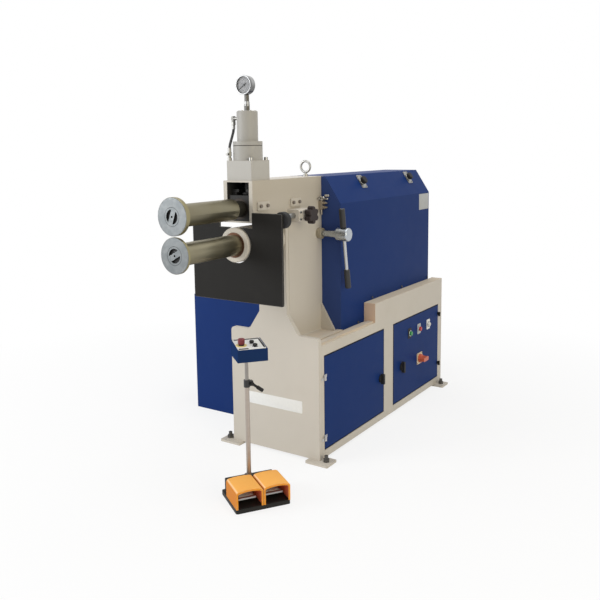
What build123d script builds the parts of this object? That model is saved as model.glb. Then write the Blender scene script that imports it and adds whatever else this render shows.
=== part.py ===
from build123d import *

import math
import os

# Motor-driven bead roller with a hydraulic press-down, in millimetres.
# X = 0 is the centre plane, with the doors at +X. Z = 0 is the floor.
# Y = 0 is the front face of the front plate, with the rolls at -Y.

# Clearances
RUNNING = 0.05  # radial, between a shaft and its bush
APART = 0.3  # between faces that pass each other
FREE = 3.0  # round openings that only have to be missed

# Base cabinet and front plate
FOOT_THICK = 12
FOOT_LONG = 135
FOOT_WIDE = 100
FOOT_REACH = 67
FRONT_FOOT_Y = 10
REAR_FOOT_INSET = 74
BASE_WIDTH = 570
BASE_LENGTH = 1605
BASE_WALL = 5
DECK_HEIGHT = 624
DECK_THICK = 14
RAIL_HEIGHT = 113
RAIL_WIDTH = 73
RAIL_START = 620
RAIL_WALL = 6
STRIP_INSETS = (14, 62)
STRIP_WIDE = 36
STRIP_HIGH = 8
FRONT_THICK = 25
SHOULDER_OVER = 42
SHOULDER_INNER = 161
SHOULDER_RISE = 107
SHOULDER_ROUND = 22
LEVEL_BOLT_D = 20
LEVEL_BOLT_LENGTH = 46

# Column and head
COLUMN_WIDTH = 178
COLUMN_REAR = 379
COLUMN_WALL = 22
HEAD_FRONT = -275
HEAD_UNDER = 107
HEAD_HEIGHT = 205
HEAD_SKIN = 8
PAD_LONG = 94
PAD_HIGH = 42
PAD_THICK = 9
PAD_OVER = 187
PAD_YS = (-195, 91)
PAD_BOLT_D = 18
PAD_BOLT_SPREAD = 56
GUSSET_THICK = 15
GUSSET_RISE = 150
GUSSET_FOOT = 178
EYE_WIRE = 13
EYE_RING = 60
EYE_Y = 334

# Shafts, rolls and gears
AXIS_OVER_DECK = 546
GEAR_MODULE = 6
GEAR_TEETH = 29
GEAR_WIDTH = 60
GEAR_BACKLASH = 1.2
GEAR_BEFORE_PIVOT = 110
SHAFT_D = 104
UPPER_JOURNAL = 80
UPPER_STEP = 65
LOWER_JOURNAL = 90
UPPER_TAIL = 70
LOWER_TAIL = 80
UPPER_ROLL_D = 172
UPPER_ROLL_WIDTH = 26
LOWER_ROLL_D = 166
LOWER_ROLL_WIDTH = 16
ROLL_FACE = -745
ROLL_SETBACK = 8
ROLL_SPIGOT = 60
NUT_D = 84
NUT_THICK = 9
NUT_SLOT_CHORD = 13
NUT_SLOT_RIM = 9
UPPER_NUT_TURN = 20
LOWER_NUT_TURN = 62
ARM_D = 172
ARM_FRONT = -314
BUSH_D = 124
BUSH_LENGTH = 140
BUSH_PROUD = 2

# Press head
OPEN_ANGLE = 2.4
PIVOT_INSET = 410
PRESS_Y = -187
BLOCK_WIDTH = 154
BLOCK_DEPTH = 150
BLOCK_HEIGHT = 97
BLOCK_SCREW_D = 20
BLOCK_SCREW_HIGH = 15
BLOCK_SCREW_INSET = 13
CYLINDER_LOW_D = 146
CYLINDER_LOW_HEIGHT = 93
CYLINDER_TOP_D = 104
CYLINDER_TOP_HEIGHT = 147
CYLINDER_SEAM = 3
PISTON_D = 72
PISTON_THICK = 40
ROD_D = 40
FOOT_D = 68
FOOT_DISC = 12
SLIDE_DROP = 58
SLIDE_RISE = 66
SLIDE_CAP = 28
SLIDE_BUSH_D = 104
GAUGE_D = 92
GAUGE_THICK = 40
GAUGE_RISE = 124
GAUGE_DIAL_DEPTH = 6
STEM_HEX = 26
HOSE_D = 13

# Rear bearings and drive
STAND_THICK = 50
STAND_WIDTH = 280
STAND_OVER = 96
BALL_R = 52
BALL_GAP = 0.3
UPPER_RING_D = 150
LOWER_RING_D = 130
REDUCER_WIDTH = 230
REDUCER_DEPTH = 150
REDUCER_UP = 112
REDUCER_DOWN = 150
REDUCER_GAP = 32
MOTOR_D = 190
MOTOR_LENGTH = 340
MOTOR_FLANGE_D = 240
COVER_START = 353
COVER_INSET = 67
COVER_SHEET = 2.5
COVER_CHAMFER_RISE = 148
COVER_CHAMFER_HALF = 116
COVER_DROP = 1
COVER_KNOB_D = 46
COVER_KNOB_INSETS = (362, 195)
COVER_KNOB_SHARE = 0.7

# Lower shaft shift by the side handle
HANDLE_Y = 322
HANDLE_HUB_X = 250
HANDLE_HUB_D = 74
HANDLE_HUB_LENGTH = 70
HANDLE_BOSS = 26
SPINDLE_D = 30
SPINDLE_NOSE_D = 46
ECCENTRIC = 8
PIN_D = 12
PIN_PLAY = 0.5
PIN_REACH = 9
COLLAR_D = 126
COLLAR_WIDTH = 40
COLLAR_GROOVE = 76
BAR_D = 18
BAR_LENGTH = 448
BAR_TILT = 8.5
GRIP_D = 33
GRIP_LENGTH = 106

# Stop plate
PLATE_HALF = 276
PLATE_DOWN = 283
PLATE_UP = 160
PLATE_THICK = 10
PLATE_GAP = 15
PLATE_NOTCH_HALF = 100
GUIDE_ROD_D = 30
GUIDE_ROD_X = 125
GUIDE_ROD_OVER = 122
GUIDE_ROD_END = 235
BRACKET_START = 20
BRACKET_END = 150
BRACKET_OUT = 160
BRACKET_HEIGHT = 62
KNOB_Y = 96
KNOB_D = 92
KNOB_THICK = 34
KNOB_NECK = 12
KNOB_SCREW = 16
ROLLER_D = 80
ROLLER_WIDTH = 35
ROLLER_X = 262
ROLLER_OVER = 129
ROLLER_PIN = 16

# Doors
DOOR_GAP = 3
DOOR_PROUD = 1
DOOR_SHEET = 2
DOOR_DEPTH = 18
DOOR_BOTTOM = 56
DOOR_TOP_DROP = 60
FRONT_DOOR = (52, 730)
REAR_DOOR_START = 857
REAR_DOOR_INSET = 63
HINGE_OUT = 9
HINGE_OFF = 7
HINGE_BARREL = 14
HINGE_PIN = 6
HINGE_LEAF = 24
HINGE_HALF = 14
FRONT_HINGE_INSETS = (66, 113)
REAR_HINGE_INSETS = (94, 68)
LATCH_RISE = 214
LATCH_D = 18
FRONT_LATCH_WING = 32
REAR_LATCH_WING = 36
LATCH_LAP = 18
FRONT_LATCH_Y = 688
REAR_LATCH_Y = 970
BUTTON_D = 28
BUTTON_OUT = 14
BUTTON_TRAVEL = 5
BUTTON_DROP = 104
START_Y = 1089
STOP_Y = 1231
SWITCH_Y = 1242
SWITCH_RISE = 204
SWITCH_D = 56
SWITCH_OUT = 50
SWITCH_GRIP = (72, 26)
SWITCH_SPINDLE_D = 24

# Power pack enclosure on the far side
PACK_WIDTH = 562
PACK_START = 330
PACK_LENGTH = 680
PACK_HEIGHT = 735
PACK_SHEET = 2.5
LOUVRE_COUNT = 7
LOUVRE_LENGTH = 300
LOUVRE_HEIGHT = 12
LOUVRE_PITCH = 36
LOUVRE_DROP = 150
TANK_SIZE = (400, 520, 320)
TANK_WALL = 4
TANK_LID = 12
PUMP_MOTOR_D = 160
PUMP_MOTOR_HEIGHT = 300

# Pedal station
STATION_X = 236
STATION_Y = -496
STATION_YAW = 56
PEDAL_BASE = (264, 230, 20)
GUARD_WIDTH = 130
GUARD_DEPTH = 155
GUARD_HEIGHT = 88
GUARD_CROWN = 6
GUARD_ROUND = 16
GUARD_WALL = 4
HOUSING_SIZE = (240, 62, 64)
PEDAL_WIDTH = 84
PEDAL_LENGTH = 96
PEDAL_THICK = 8
PEDAL_PIN_D = 8
PEDAL_TOE_RISE = 24
POST_X = -7
POST_D = 22
POST_INNER_D = 17
POST_TOP = 542
POST_OVERLAP = 120
CLAMP_D = 30
CLAMP_HEIGHT = 34
CLAMP_BOLT_D = 8
LEVER_LENGTH = 66
LEVER_DROP = 38
CONSOLE_BOTTOM = 669
CONSOLE_TURN = -6
CONSOLE_SHIFT = 12
CONSOLE_FORWARD = 12
CONSOLE_WIDTH = 142
CONSOLE_DEPTH = 155
CONSOLE_FRONT = 58
CONSOLE_TILT = 5
CONSOLE_WALL = 3
ESTOP_D = 32
CONSOLE_BUTTON_D = 22

# Worked-out places
HALF = BASE_WIDTH / 2
COLUMN_HALF = COLUMN_WIDTH / 2
INNER_HALF = COLUMN_HALF - COLUMN_WALL
CENTRES = GEAR_MODULE * GEAR_TEETH
SHOULDER_HEIGHT = DECK_HEIGHT + SHOULDER_OVER
LOWER_AXIS = DECK_HEIGHT + AXIS_OVER_DECK
UPPER_AXIS = LOWER_AXIS + CENTRES
HEAD_BOTTOM = LOWER_AXIS + HEAD_UNDER
HEAD_TOP = HEAD_BOTTOM + HEAD_HEIGHT
PAD_Z = LOWER_AXIS + PAD_OVER
REAR_FOOT_Y = BASE_LENGTH - REAR_FOOT_INSET
PIVOT_Y = BASE_LENGTH - PIVOT_INSET
GEAR_Y = PIVOT_Y - GEAR_BEFORE_PIVOT
COVER_END = BASE_LENGTH - COVER_INSET
COVER_TOP = HEAD_TOP - COVER_DROP
COVER_CHAMFER_LOW = COVER_TOP - COVER_CHAMFER_RISE
COVER_KNOB_YS = (COVER_START + COVER_KNOB_INSETS[0], COVER_END - COVER_KNOB_INSETS[1])
PLATE_BOTTOM = LOWER_AXIS - PLATE_DOWN
PLATE_TOP = LOWER_AXIS + PLATE_UP
GUIDE_ROD_Z = LOWER_AXIS + GUIDE_ROD_OVER
PIN_TIP = COLLAR_D / 2 - PIN_REACH
ROLLER_Z = LOWER_AXIS + ROLLER_OVER
DOOR_TOP = DECK_HEIGHT - DOOR_TOP_DROP
REAR_DOOR = (REAR_DOOR_START, BASE_LENGTH - REAR_DOOR_INSET)
FRONT_HINGE_ZS = (DOOR_BOTTOM + FRONT_HINGE_INSETS[0], DOOR_TOP - FRONT_HINGE_INSETS[1])
REAR_HINGE_ZS = (DOOR_BOTTOM + REAR_HINGE_INSETS[0], DOOR_TOP - REAR_HINGE_INSETS[1])
LATCH_Z = DOOR_BOTTOM + LATCH_RISE
BUTTON_Z = DOOR_TOP - BUTTON_DROP
SWITCH_Z = DOOR_BOTTOM + SWITCH_RISE
RAIL_TOP = DECK_HEIGHT + RAIL_HEIGHT
COVER_HALF = HALF - RAIL_WIDTH - APART
BLOCK_TOP = HEAD_TOP + BLOCK_HEIGHT
LOW_TOP = BLOCK_TOP + CYLINDER_LOW_HEIGHT
CYLINDER_TOP = LOW_TOP + CYLINDER_TOP_HEIGHT
GAUGE_Z = CYLINDER_TOP + GAUGE_RISE
SLIDE_FRONT = HEAD_FRONT + 10
SLIDE_REAR = PRESS_Y + BLOCK_DEPTH / 2
PLATE_BACK = HEAD_FRONT - PLATE_GAP
PLATE_FRONT = PLATE_BACK - PLATE_THICK
STAND_START = PIVOT_Y - STAND_THICK / 2
STAND_END = PIVOT_Y + STAND_THICK / 2
REDUCER_START = STAND_END + REDUCER_GAP
REDUCER_END = REDUCER_START + REDUCER_DEPTH
REDUCER_MID = (REDUCER_START + REDUCER_END) / 2
DOOR_FACE = HALF + DOOR_PROUD
UP_STROKE = (PIVOT_Y - PRESS_Y) * math.radians(OPEN_ANGLE)

os.makedirs("parts", exist_ok=True)


# Shapes that come back often
def slab(x, y, z):
    """A box between three pairs of limits."""
    size = Box(x[1] - x[0], y[1] - y[0], z[1] - z[0])
    return Pos((x[0] + x[1]) / 2, (y[0] + y[1]) / 2, (z[0] + z[1]) / 2) * size


def bar_x(diameter, x, y, z):
    """A round bar along X between a pair of limits."""
    return Pos((x[0] + x[1]) / 2, y, z) * Rot(0, 90, 0) * Cylinder(diameter / 2, x[1] - x[0])


def bar_y(diameter, y, x, z):
    """A round bar along Y between a pair of limits."""
    return Pos(x, (y[0] + y[1]) / 2, z) * Rot(90, 0, 0) * Cylinder(diameter / 2, y[1] - y[0])


def bar_z(diameter, z, x, y):
    """A round bar along Z between a pair of limits."""
    return Pos(x, y, (z[0] + z[1]) / 2) * Cylinder(diameter / 2, z[1] - z[0])


def hex_z(across, z, x, y):
    """A hexagon bar along Z between a pair of limits."""
    face = RegularPolygon(across / 2, 6, major_radius=False)
    return Pos(x, y, z[0]) * extrude(face, z[1] - z[0])


def plate_x(points, x):
    """A plate square to X, outlined by Y and Z, between a pair of limits."""
    face = make_face(Polyline(*points, close=True))
    return Pos(x[0], 0, 0) * extrude(Plane.YZ * face, x[1] - x[0])


def plate_y(points, y):
    """A plate square to Y, outlined by X and Z, between a pair of limits."""
    face = make_face(Polyline(*points, close=True))
    return Pos(0, y[1], 0) * extrude(Plane.XZ * face, y[1] - y[0])


def both_sides(shape):
    """The shape and its twin across the centre plane."""
    return [shape, mirror(shape, Plane.YZ)]


def save(name, *solids):
    """Write one node, as one solid or as a group of separate solids."""
    shape = solids[0] if len(solids) == 1 else Compound(children=list(solids))
    export_step(shape, f"parts/{name}.step")


# Base
def base_cabinet():
    """Sheet cabinet with a heavy deck, a partition, two door openings, flat bars and rails on the deck."""
    low = FOOT_THICK
    inner_y = (FRONT_THICK + BASE_WALL, BASE_LENGTH - BASE_WALL)
    shell = slab((-HALF, HALF), (FRONT_THICK, BASE_LENGTH), (low, DECK_HEIGHT))
    shell -= slab((BASE_WALL - HALF, HALF - BASE_WALL), inner_y, (low + BASE_WALL, DECK_HEIGHT - DECK_THICK))
    middle = (FRONT_DOOR[1] + REAR_DOOR[0]) / 2
    wall_y = (middle - BASE_WALL / 2, middle + BASE_WALL / 2)
    shell += slab((BASE_WALL - HALF, HALF - BASE_WALL), wall_y, (low + BASE_WALL, DECK_HEIGHT - DECK_THICK))
    opening_z = (DOOR_BOTTOM - DOOR_GAP, DOOR_TOP + DOOR_GAP)
    for start, end in (FRONT_DOOR, REAR_DOOR):
        shell -= slab((HALF - 2 * BASE_WALL, HALF + 1), (start - DOOR_GAP, end + DOOR_GAP), opening_z)
    rail = slab((HALF - RAIL_WIDTH, HALF), (RAIL_START, BASE_LENGTH), (DECK_HEIGHT, RAIL_TOP))
    hollow_y = (RAIL_START + RAIL_WALL, BASE_LENGTH - RAIL_WALL)
    hollow_x = (HALF - RAIL_WIDTH + RAIL_WALL, HALF - RAIL_WALL)
    rail -= slab(hollow_x, hollow_y, (DECK_HEIGHT, RAIL_TOP - RAIL_WALL))
    for side in both_sides(rail):
        shell += side
    for inset, end in zip(STRIP_INSETS, (RAIL_START, COVER_START - APART)):
        strip_x = (HALF - inset - STRIP_WIDE, HALF - inset)
        strip = slab(strip_x, (FRONT_THICK, end), (DECK_HEIGHT, DECK_HEIGHT + STRIP_HIGH))
        for side in both_sides(strip):
            shell += side
    return shell


def front_plate():
    """Full-height front plate: wide foot, sloping shoulders, narrow upper part with the arm tube's hole."""
    outline = [
        (-HALF, FOOT_THICK),
        (HALF, FOOT_THICK),
        (HALF, SHOULDER_HEIGHT),
        (SHOULDER_INNER, SHOULDER_HEIGHT),
        (COLUMN_HALF, SHOULDER_HEIGHT + SHOULDER_RISE),
        (COLUMN_HALF, HEAD_BOTTOM),
        (-COLUMN_HALF, HEAD_BOTTOM),
        (-COLUMN_HALF, SHOULDER_HEIGHT + SHOULDER_RISE),
        (-SHOULDER_INNER, SHOULDER_HEIGHT),
        (-HALF, SHOULDER_HEIGHT),
    ]
    plate = plate_y(outline, (0, FRONT_THICK))
    shoulders = [e for e in plate.edges().filter_by(Axis.Y) if abs(e.center().Z - SHOULDER_HEIGHT) < 1]
    plate = fillet(shoulders, SHOULDER_ROUND)
    return plate - bar_y(BUSH_D, (-1, FRONT_THICK + 1), 0, LOWER_AXIS)


def column_frame():
    """Welded box column with the overhanging head, open at the front for the slide block."""
    profile = [
        (FRONT_THICK, DECK_HEIGHT),
        (COLUMN_REAR, DECK_HEIGHT),
        (COLUMN_REAR, HEAD_TOP),
        (HEAD_FRONT, HEAD_TOP),
        (HEAD_FRONT, HEAD_BOTTOM),
        (FRONT_THICK, HEAD_BOTTOM),
    ]
    frame = plate_x(profile, (-COLUMN_HALF, COLUMN_HALF))
    inside = (-INNER_HALF, INNER_HALF)
    back = COLUMN_REAR - COLUMN_WALL
    frame -= slab(inside, (HEAD_FRONT - 1, back), (HEAD_BOTTOM + HEAD_SKIN, HEAD_TOP - HEAD_SKIN))
    frame -= slab(inside, (FRONT_THICK - 1, back), (DECK_HEIGHT - 1, HEAD_TOP - HEAD_SKIN))
    mouth = (PRESS_Y - BLOCK_DEPTH / 2 + COLUMN_WALL / 2, PRESS_Y + BLOCK_DEPTH / 2 - COLUMN_WALL / 2)
    frame -= slab(inside, mouth, (HEAD_TOP - HEAD_SKIN - 1, HEAD_TOP + 1))
    lift = (PIVOT_Y - back) * math.tan(math.radians(OPEN_ANGLE))
    wall = (back - 1, COLUMN_REAR + 1)
    frame -= bar_y(LOWER_JOURNAL + 2 * FREE, wall, 0, LOWER_AXIS)
    frame -= bar_y(UPPER_JOURNAL + 2 * FREE, wall, 0, UPPER_AXIS)
    slot_half = UPPER_JOURNAL / 2 + FREE
    frame -= bar_y(2 * slot_half, wall, 0, UPPER_AXIS + lift)
    frame -= slab((-slot_half, slot_half), wall, (UPPER_AXIS, UPPER_AXIS + lift))
    frame -= bar_x(SPINDLE_D + 2 * RUNNING, (0, COLUMN_HALF + 1), HANDLE_Y, LOWER_AXIS)
    gusset_end = COVER_START - APART
    triangle = [(COLUMN_HALF, DECK_HEIGHT), (GUSSET_FOOT, DECK_HEIGHT)]
    triangle.append((COLUMN_HALF, DECK_HEIGHT + GUSSET_RISE))
    for side in both_sides(plate_y(triangle, (gusset_end - GUSSET_THICK, gusset_end))):
        frame += side
    return frame


def foot_corners():
    """Centres of the four foot plates."""
    x = HALF + FOOT_REACH - FOOT_LONG / 2
    return [(sx * x, y) for sx in (-1, 1) for y in (FRONT_FOOT_Y, REAR_FOOT_Y)]


def level_bolt_place(corner):
    """A levelling bolt stands on the part of the foot plate that sticks out of the side."""
    x, y = corner
    return math.copysign(HALF + FOOT_REACH / 2, x), y


def foot_plates():
    plates = []
    for corner in foot_corners():
        bolt_x, bolt_y = level_bolt_place(corner)
        plate = Pos(*corner, FOOT_THICK / 2) * Box(FOOT_LONG, FOOT_WIDE, FOOT_THICK)
        plate = fillet(plate.edges().filter_by(Axis.Z), 6)
        plates.append(plate - bar_z(LEVEL_BOLT_D, (-1, FOOT_THICK + 1), bolt_x, bolt_y))
    return plates


def level_bolts():
    bolts = []
    for corner in foot_corners():
        x, y = level_bolt_place(corner)
        bolt = bar_z(LEVEL_BOLT_D, (0, LEVEL_BOLT_LENGTH), x, y)
        bolts.append(bolt + hex_z(1.5 * LEVEL_BOLT_D, (FOOT_THICK, FOOT_THICK + 0.8 * LEVEL_BOLT_D), x, y))
    return bolts


# Press head
def mount_block():
    """Block on the head: a chamber for the slide cap below and the rod's gland above."""
    half_depth = BLOCK_DEPTH / 2
    z = (HEAD_TOP, BLOCK_TOP)
    y = (PRESS_Y - half_depth, PRESS_Y + half_depth)
    block = slab((-BLOCK_WIDTH / 2, BLOCK_WIDTH / 2), y, z)
    block = fillet(block.edges().filter_by(Axis.Z), 4)
    chamber_y = (y[0] + COLUMN_WALL / 2, y[1] - COLUMN_WALL / 2)
    block -= slab((-INNER_HALF, INNER_HALF), chamber_y, (HEAD_TOP - 1, HEAD_TOP + SLIDE_CAP + COLUMN_WALL))
    return block - bar_z(ROD_D + 2 * RUNNING, z, 0, PRESS_Y)


def hydraulic_cylinder():
    """Wide flanged lower barrel with a seam, narrower upper barrel, bored for the piston."""
    barrel = bar_z(CYLINDER_LOW_D, (BLOCK_TOP, LOW_TOP), 0, PRESS_Y)
    barrel += bar_z(CYLINDER_TOP_D, (LOW_TOP, CYLINDER_TOP), 0, PRESS_Y)
    seam_z = LOW_TOP - 22
    groove = bar_z(CYLINDER_LOW_D + 2, (seam_z, seam_z + CYLINDER_SEAM), 0, PRESS_Y)
    groove -= bar_z(CYLINDER_LOW_D - 6, (seam_z, seam_z + CYLINDER_SEAM), 0, PRESS_Y)
    barrel -= groove
    rims = [e for e in barrel.edges().filter_by(GeomType.CIRCLE) if abs(e.center().Z - CYLINDER_TOP) < 1]
    barrel = chamfer(rims, 3)
    bore_top = BLOCK_TOP + COLUMN_WALL + PISTON_THICK + UP_STROKE + COLUMN_WALL
    barrel -= bar_z(PISTON_D + 2 * RUNNING, (BLOCK_TOP + COLUMN_WALL, bore_top), 0, PRESS_Y)
    return barrel - bar_z(ROD_D + 2 * RUNNING, (BLOCK_TOP - 1, BLOCK_TOP + COLUMN_WALL + 1), 0, PRESS_Y)


def piston_rod():
    """Piston, rod and the crowned foot that hangs in the slide block's slot."""
    slot_floor = UPPER_AXIS + SLIDE_RISE
    crown = 2.0
    foot_low = slot_floor + APART
    radius = FOOT_D / 2
    outline = Polyline(
        (0, foot_low),
        (ROD_D / 20, foot_low),
        (radius, foot_low + crown),
        (radius, foot_low + FOOT_DISC - crown),
        (ROD_D / 2, foot_low + FOOT_DISC),
        (ROD_D / 2, BLOCK_TOP + COLUMN_WALL + APART),
        (PISTON_D / 2, BLOCK_TOP + COLUMN_WALL + APART),
        (PISTON_D / 2, BLOCK_TOP + COLUMN_WALL + PISTON_THICK),
        (0, BLOCK_TOP + COLUMN_WALL + PISTON_THICK),
        close=True,
    )
    return Pos(0, PRESS_Y, 0) * revolve(Plane.XZ * make_face(outline), Axis.Z)


def slide_block():
    """Block that carries the front of the upper shaft, with a slotted cap for the rod's foot."""
    half = INNER_HALF - APART
    top = UPPER_AXIS + SLIDE_RISE
    y = (SLIDE_FRONT, SLIDE_REAR)
    block = slab((-half, half), y, (UPPER_AXIS - SLIDE_DROP, top + SLIDE_CAP))
    cap_y = (PRESS_Y - BLOCK_DEPTH / 2 + COLUMN_WALL, PRESS_Y + BLOCK_DEPTH / 2 - COLUMN_WALL)
    for ends in ((y[0] - 1, cap_y[0]), (cap_y[1], y[1] + 1)):
        block -= slab((-half - 1, half + 1), ends, (top, top + SLIDE_CAP + 1))
    slot_height = FOOT_DISC + 8 * APART
    foot_half = FOOT_D / 2 + 2
    block -= slab((-foot_half, foot_half), y, (top, top + slot_height))
    neck_half = ROD_D / 2 + 2
    block -= slab((-neck_half, neck_half), y, (top, top + SLIDE_CAP + 1))
    bush = bar_y(SLIDE_BUSH_D, y, 0, UPPER_AXIS)
    block -= bush
    return block, bush - bar_y(UPPER_JOURNAL + 2 * RUNNING, (y[0] - 1, y[1] + 1), 0, UPPER_AXIS)


def gauge_case():
    """Round gauge case, open at the front, with a dished dial floor."""
    front = PRESS_Y - GAUGE_THICK / 2 - 6
    case = bar_y(GAUGE_D, (front, front + GAUGE_THICK), 0, GAUGE_Z)
    back = [e for e in case.edges().filter_by(GeomType.CIRCLE) if e.center().Y > front + 1]
    case = fillet(back, 6)
    return case - bar_y(GAUGE_D - 10, (front - 1, front + GAUGE_DIAL_DEPTH), 0, GAUGE_Z)


def gauge_needle():
    """Pointer on its hub, standing just clear of the dial."""
    front = PRESS_Y - GAUGE_THICK / 2 - 6
    y = (front + GAUGE_DIAL_DEPTH - 2.2, front + GAUGE_DIAL_DEPTH - 1)
    reach = GAUGE_D / 2 - 12
    pointer = plate_y([(-2.2, -12), (2.2, -12), (0.6, reach), (-0.6, reach)], y)
    hub = bar_y(10, (y[0] - 1, front + GAUGE_DIAL_DEPTH - APART), 0, 0)
    return Pos(0, 0, GAUGE_Z) * Rot(0, -125, 0) * (pointer + hub)


def hose_ends():
    """Where the hose leaves the elbow on the cylinder and where it meets the nipple on the block."""
    upper = Vector(-CYLINDER_TOP_D / 2 - 34, PRESS_Y, CYLINDER_TOP - 66)
    lower = Vector(-BLOCK_WIDTH / 2 + 11, PRESS_Y - BLOCK_DEPTH / 2 + 13, BLOCK_TOP + 42)
    return upper, lower


def hydraulic_hose():
    """Short hose, straight out of both fittings and gently bent between them."""
    upper, lower = hose_ends()
    first = upper - Vector(0, 0, 26)
    last = lower + Vector(0, 0, 26)
    path = FilletPolyline(upper, first, last, lower, radius=50)
    section = Plane(origin=upper, z_dir=(0, 0, -1)) * Circle(HOSE_D / 2)
    return sweep(section, path=path)


def pipe_fittings():
    """Gauge stem, hose elbow, hose nipple and the lubrication block on the side of the column."""
    stem = hex_z(STEM_HEX, (CYLINDER_TOP, CYLINDER_TOP + 32), 0, PRESS_Y)
    stem += bar_z(15, (CYLINDER_TOP + 32, CYLINDER_TOP + 46), 0, PRESS_Y)
    stem += hex_z(STEM_HEX - 4, (CYLINDER_TOP + 46, GAUGE_Z - GAUGE_D / 2), 0, PRESS_Y)
    stem += bar_z(13, (GAUGE_Z - GAUGE_D / 2 - 1, GAUGE_Z - GAUGE_D / 2 + 1), 0, PRESS_Y)
    stem -= bar_y(GAUGE_D, (PRESS_Y - GAUGE_THICK, PRESS_Y + GAUGE_THICK), 0, GAUGE_Z)
    upper, lower = hose_ends()
    elbow = bar_x(17, (upper.X - 9, -CYLINDER_TOP_D / 2 + 3), PRESS_Y, upper.Z + 32)
    elbow -= bar_z(CYLINDER_TOP_D, (LOW_TOP, CYLINDER_TOP), 0, PRESS_Y)
    elbow += bar_z(20, (upper.Z + 16, upper.Z + 44), upper.X, upper.Y)
    elbow += hex_z(20, (upper.Z, upper.Z + 16), upper.X, upper.Y)
    nipple = hex_z(20, (BLOCK_TOP, BLOCK_TOP + 14), lower.X, lower.Y)
    nipple += bar_z(14, (BLOCK_TOP + 14, BLOCK_TOP + 22), lower.X, lower.Y)
    nipple += hex_z(19, (BLOCK_TOP + 22, lower.Z), lower.X, lower.Y)
    nipple += bar_y(12, (lower.Y - 22, lower.Y), lower.X, BLOCK_TOP + 32)
    side = COLUMN_HALF
    lube_y = HANDLE_Y + 14
    lube_z = LOWER_AXIS + 128
    lube = slab((side, side + 24), (lube_y - 13, lube_y + 13), (lube_z, lube_z + 52))
    for rise in (14, 38):
        lube += bar_x(14, (side + 24, side + 42), lube_y, lube_z + rise)
        lube += bar_x(8, (side + 42, side + 50), lube_y, lube_z + rise)
    lube += bar_z(12, (lube_z + 52, lube_z + 74), side + 12, lube_y)
    lube += bar_z(10, (lube_z - 26, lube_z), side + 12, lube_y)
    return [stem, elbow, nipple, lube]


# Shafts
def upper_shaft():
    """Upper shaft: roll spigot, thick overhang, journal, tail with the swivel ball."""
    shoulder = ROLL_FACE + UPPER_ROLL_WIDTH
    shaft = bar_y(ROLL_SPIGOT, (ROLL_FACE + NUT_THICK, shoulder), 0, UPPER_AXIS)
    step = SLIDE_FRONT - UPPER_STEP
    shaft += bar_y(SHAFT_D, (shoulder, step), 0, UPPER_AXIS)
    shaft += bar_y(UPPER_JOURNAL, (step, GEAR_Y + GEAR_WIDTH), 0, UPPER_AXIS)
    shaft += bar_y(UPPER_TAIL, (GEAR_Y + GEAR_WIDTH, STAND_END + 12), 0, UPPER_AXIS)
    ball = Pos(0, PIVOT_Y, UPPER_AXIS) * Sphere(BALL_R)
    half_width = STAND_THICK / 2
    ball &= bar_y(4 * BALL_R, (PIVOT_Y - half_width, PIVOT_Y + half_width), 0, UPPER_AXIS)
    ball -= bar_y(UPPER_TAIL, (STAND_START - 1, STAND_END + 1), 0, UPPER_AXIS)
    return shaft, ball


def lower_shaft():
    """Lower shaft: roll spigot, thick overhang through the front bush, groove for the shift collar, tail."""
    face = ROLL_FACE + ROLL_SETBACK
    shoulder = face + LOWER_ROLL_WIDTH
    bush_end = ARM_FRONT + BUSH_LENGTH + 2 * ROLL_SETBACK
    groove = COLLAR_WIDTH / 2 + APART
    shaft = bar_y(ROLL_SPIGOT, (face + NUT_THICK, shoulder), 0, LOWER_AXIS)
    shaft += bar_y(SHAFT_D, (shoulder, bush_end), 0, LOWER_AXIS)
    shaft += bar_y(LOWER_JOURNAL, (bush_end, HANDLE_Y - groove), 0, LOWER_AXIS)
    shaft += bar_y(COLLAR_GROOVE, (HANDLE_Y - groove, HANDLE_Y + groove), 0, LOWER_AXIS)
    shaft += bar_y(LOWER_JOURNAL, (HANDLE_Y + groove, GEAR_Y + GEAR_WIDTH), 0, LOWER_AXIS)
    shaft += bar_y(LOWER_TAIL, (GEAR_Y + GEAR_WIDTH, REDUCER_END + 12), 0, LOWER_AXIS)
    return shaft


def roll(diameter, width, face_y, z):
    """Flat roll with turned edges and a recess for its nut."""
    body = bar_y(diameter, (face_y, face_y + width), 0, z)
    body = chamfer(body.edges().filter_by(GeomType.CIRCLE), 2.5)
    body -= bar_y(NUT_D, (face_y - 1, face_y + NUT_THICK), 0, z)
    return body - bar_y(ROLL_SPIGOT, (face_y - 1, face_y + width + 1), 0, z)


def roll_nut(face_y, z, turn):
    """Flush round nut with two crescent spanner slots and a centre hole."""
    disc = Circle(NUT_D / 2) - Circle(5)
    for side in (-1, 1):
        beyond = Pos(side * (NUT_SLOT_CHORD + NUT_D / 2), 0) * Rectangle(NUT_D, NUT_D)
        disc -= Circle(NUT_D / 2 - NUT_SLOT_RIM) & beyond
    nut = extrude(Plane.XZ * disc, NUT_THICK)
    return Pos(0, face_y + NUT_THICK, z) * Rot(0, turn, 0) * nut


def gear_face():
    """Spur gear outline with straight-flanked teeth, thinned for backlash, one tooth space on the +X side."""
    pitch = CENTRES / 2
    tip = pitch + GEAR_MODULE
    root = pitch - 1.25 * GEAR_MODULE
    step = 2 * math.pi / GEAR_TEETH
    half_pitch = math.pi * GEAR_MODULE / 4 - GEAR_BACKLASH / 2
    lean = math.tan(math.radians(20))
    half_tip = (half_pitch - GEAR_MODULE * lean) / tip
    half_root = (half_pitch + 1.25 * GEAR_MODULE * lean) / root
    points = []
    for tooth in range(GEAR_TEETH):
        middle = (tooth + 0.5) * step
        for radius, turn in ((root, -half_root), (tip, -half_tip), (tip, half_tip), (root, half_root)):
            points.append((radius * math.cos(middle + turn), radius * math.sin(middle + turn)))
    return make_face(Polyline(*points, close=True))


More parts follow.
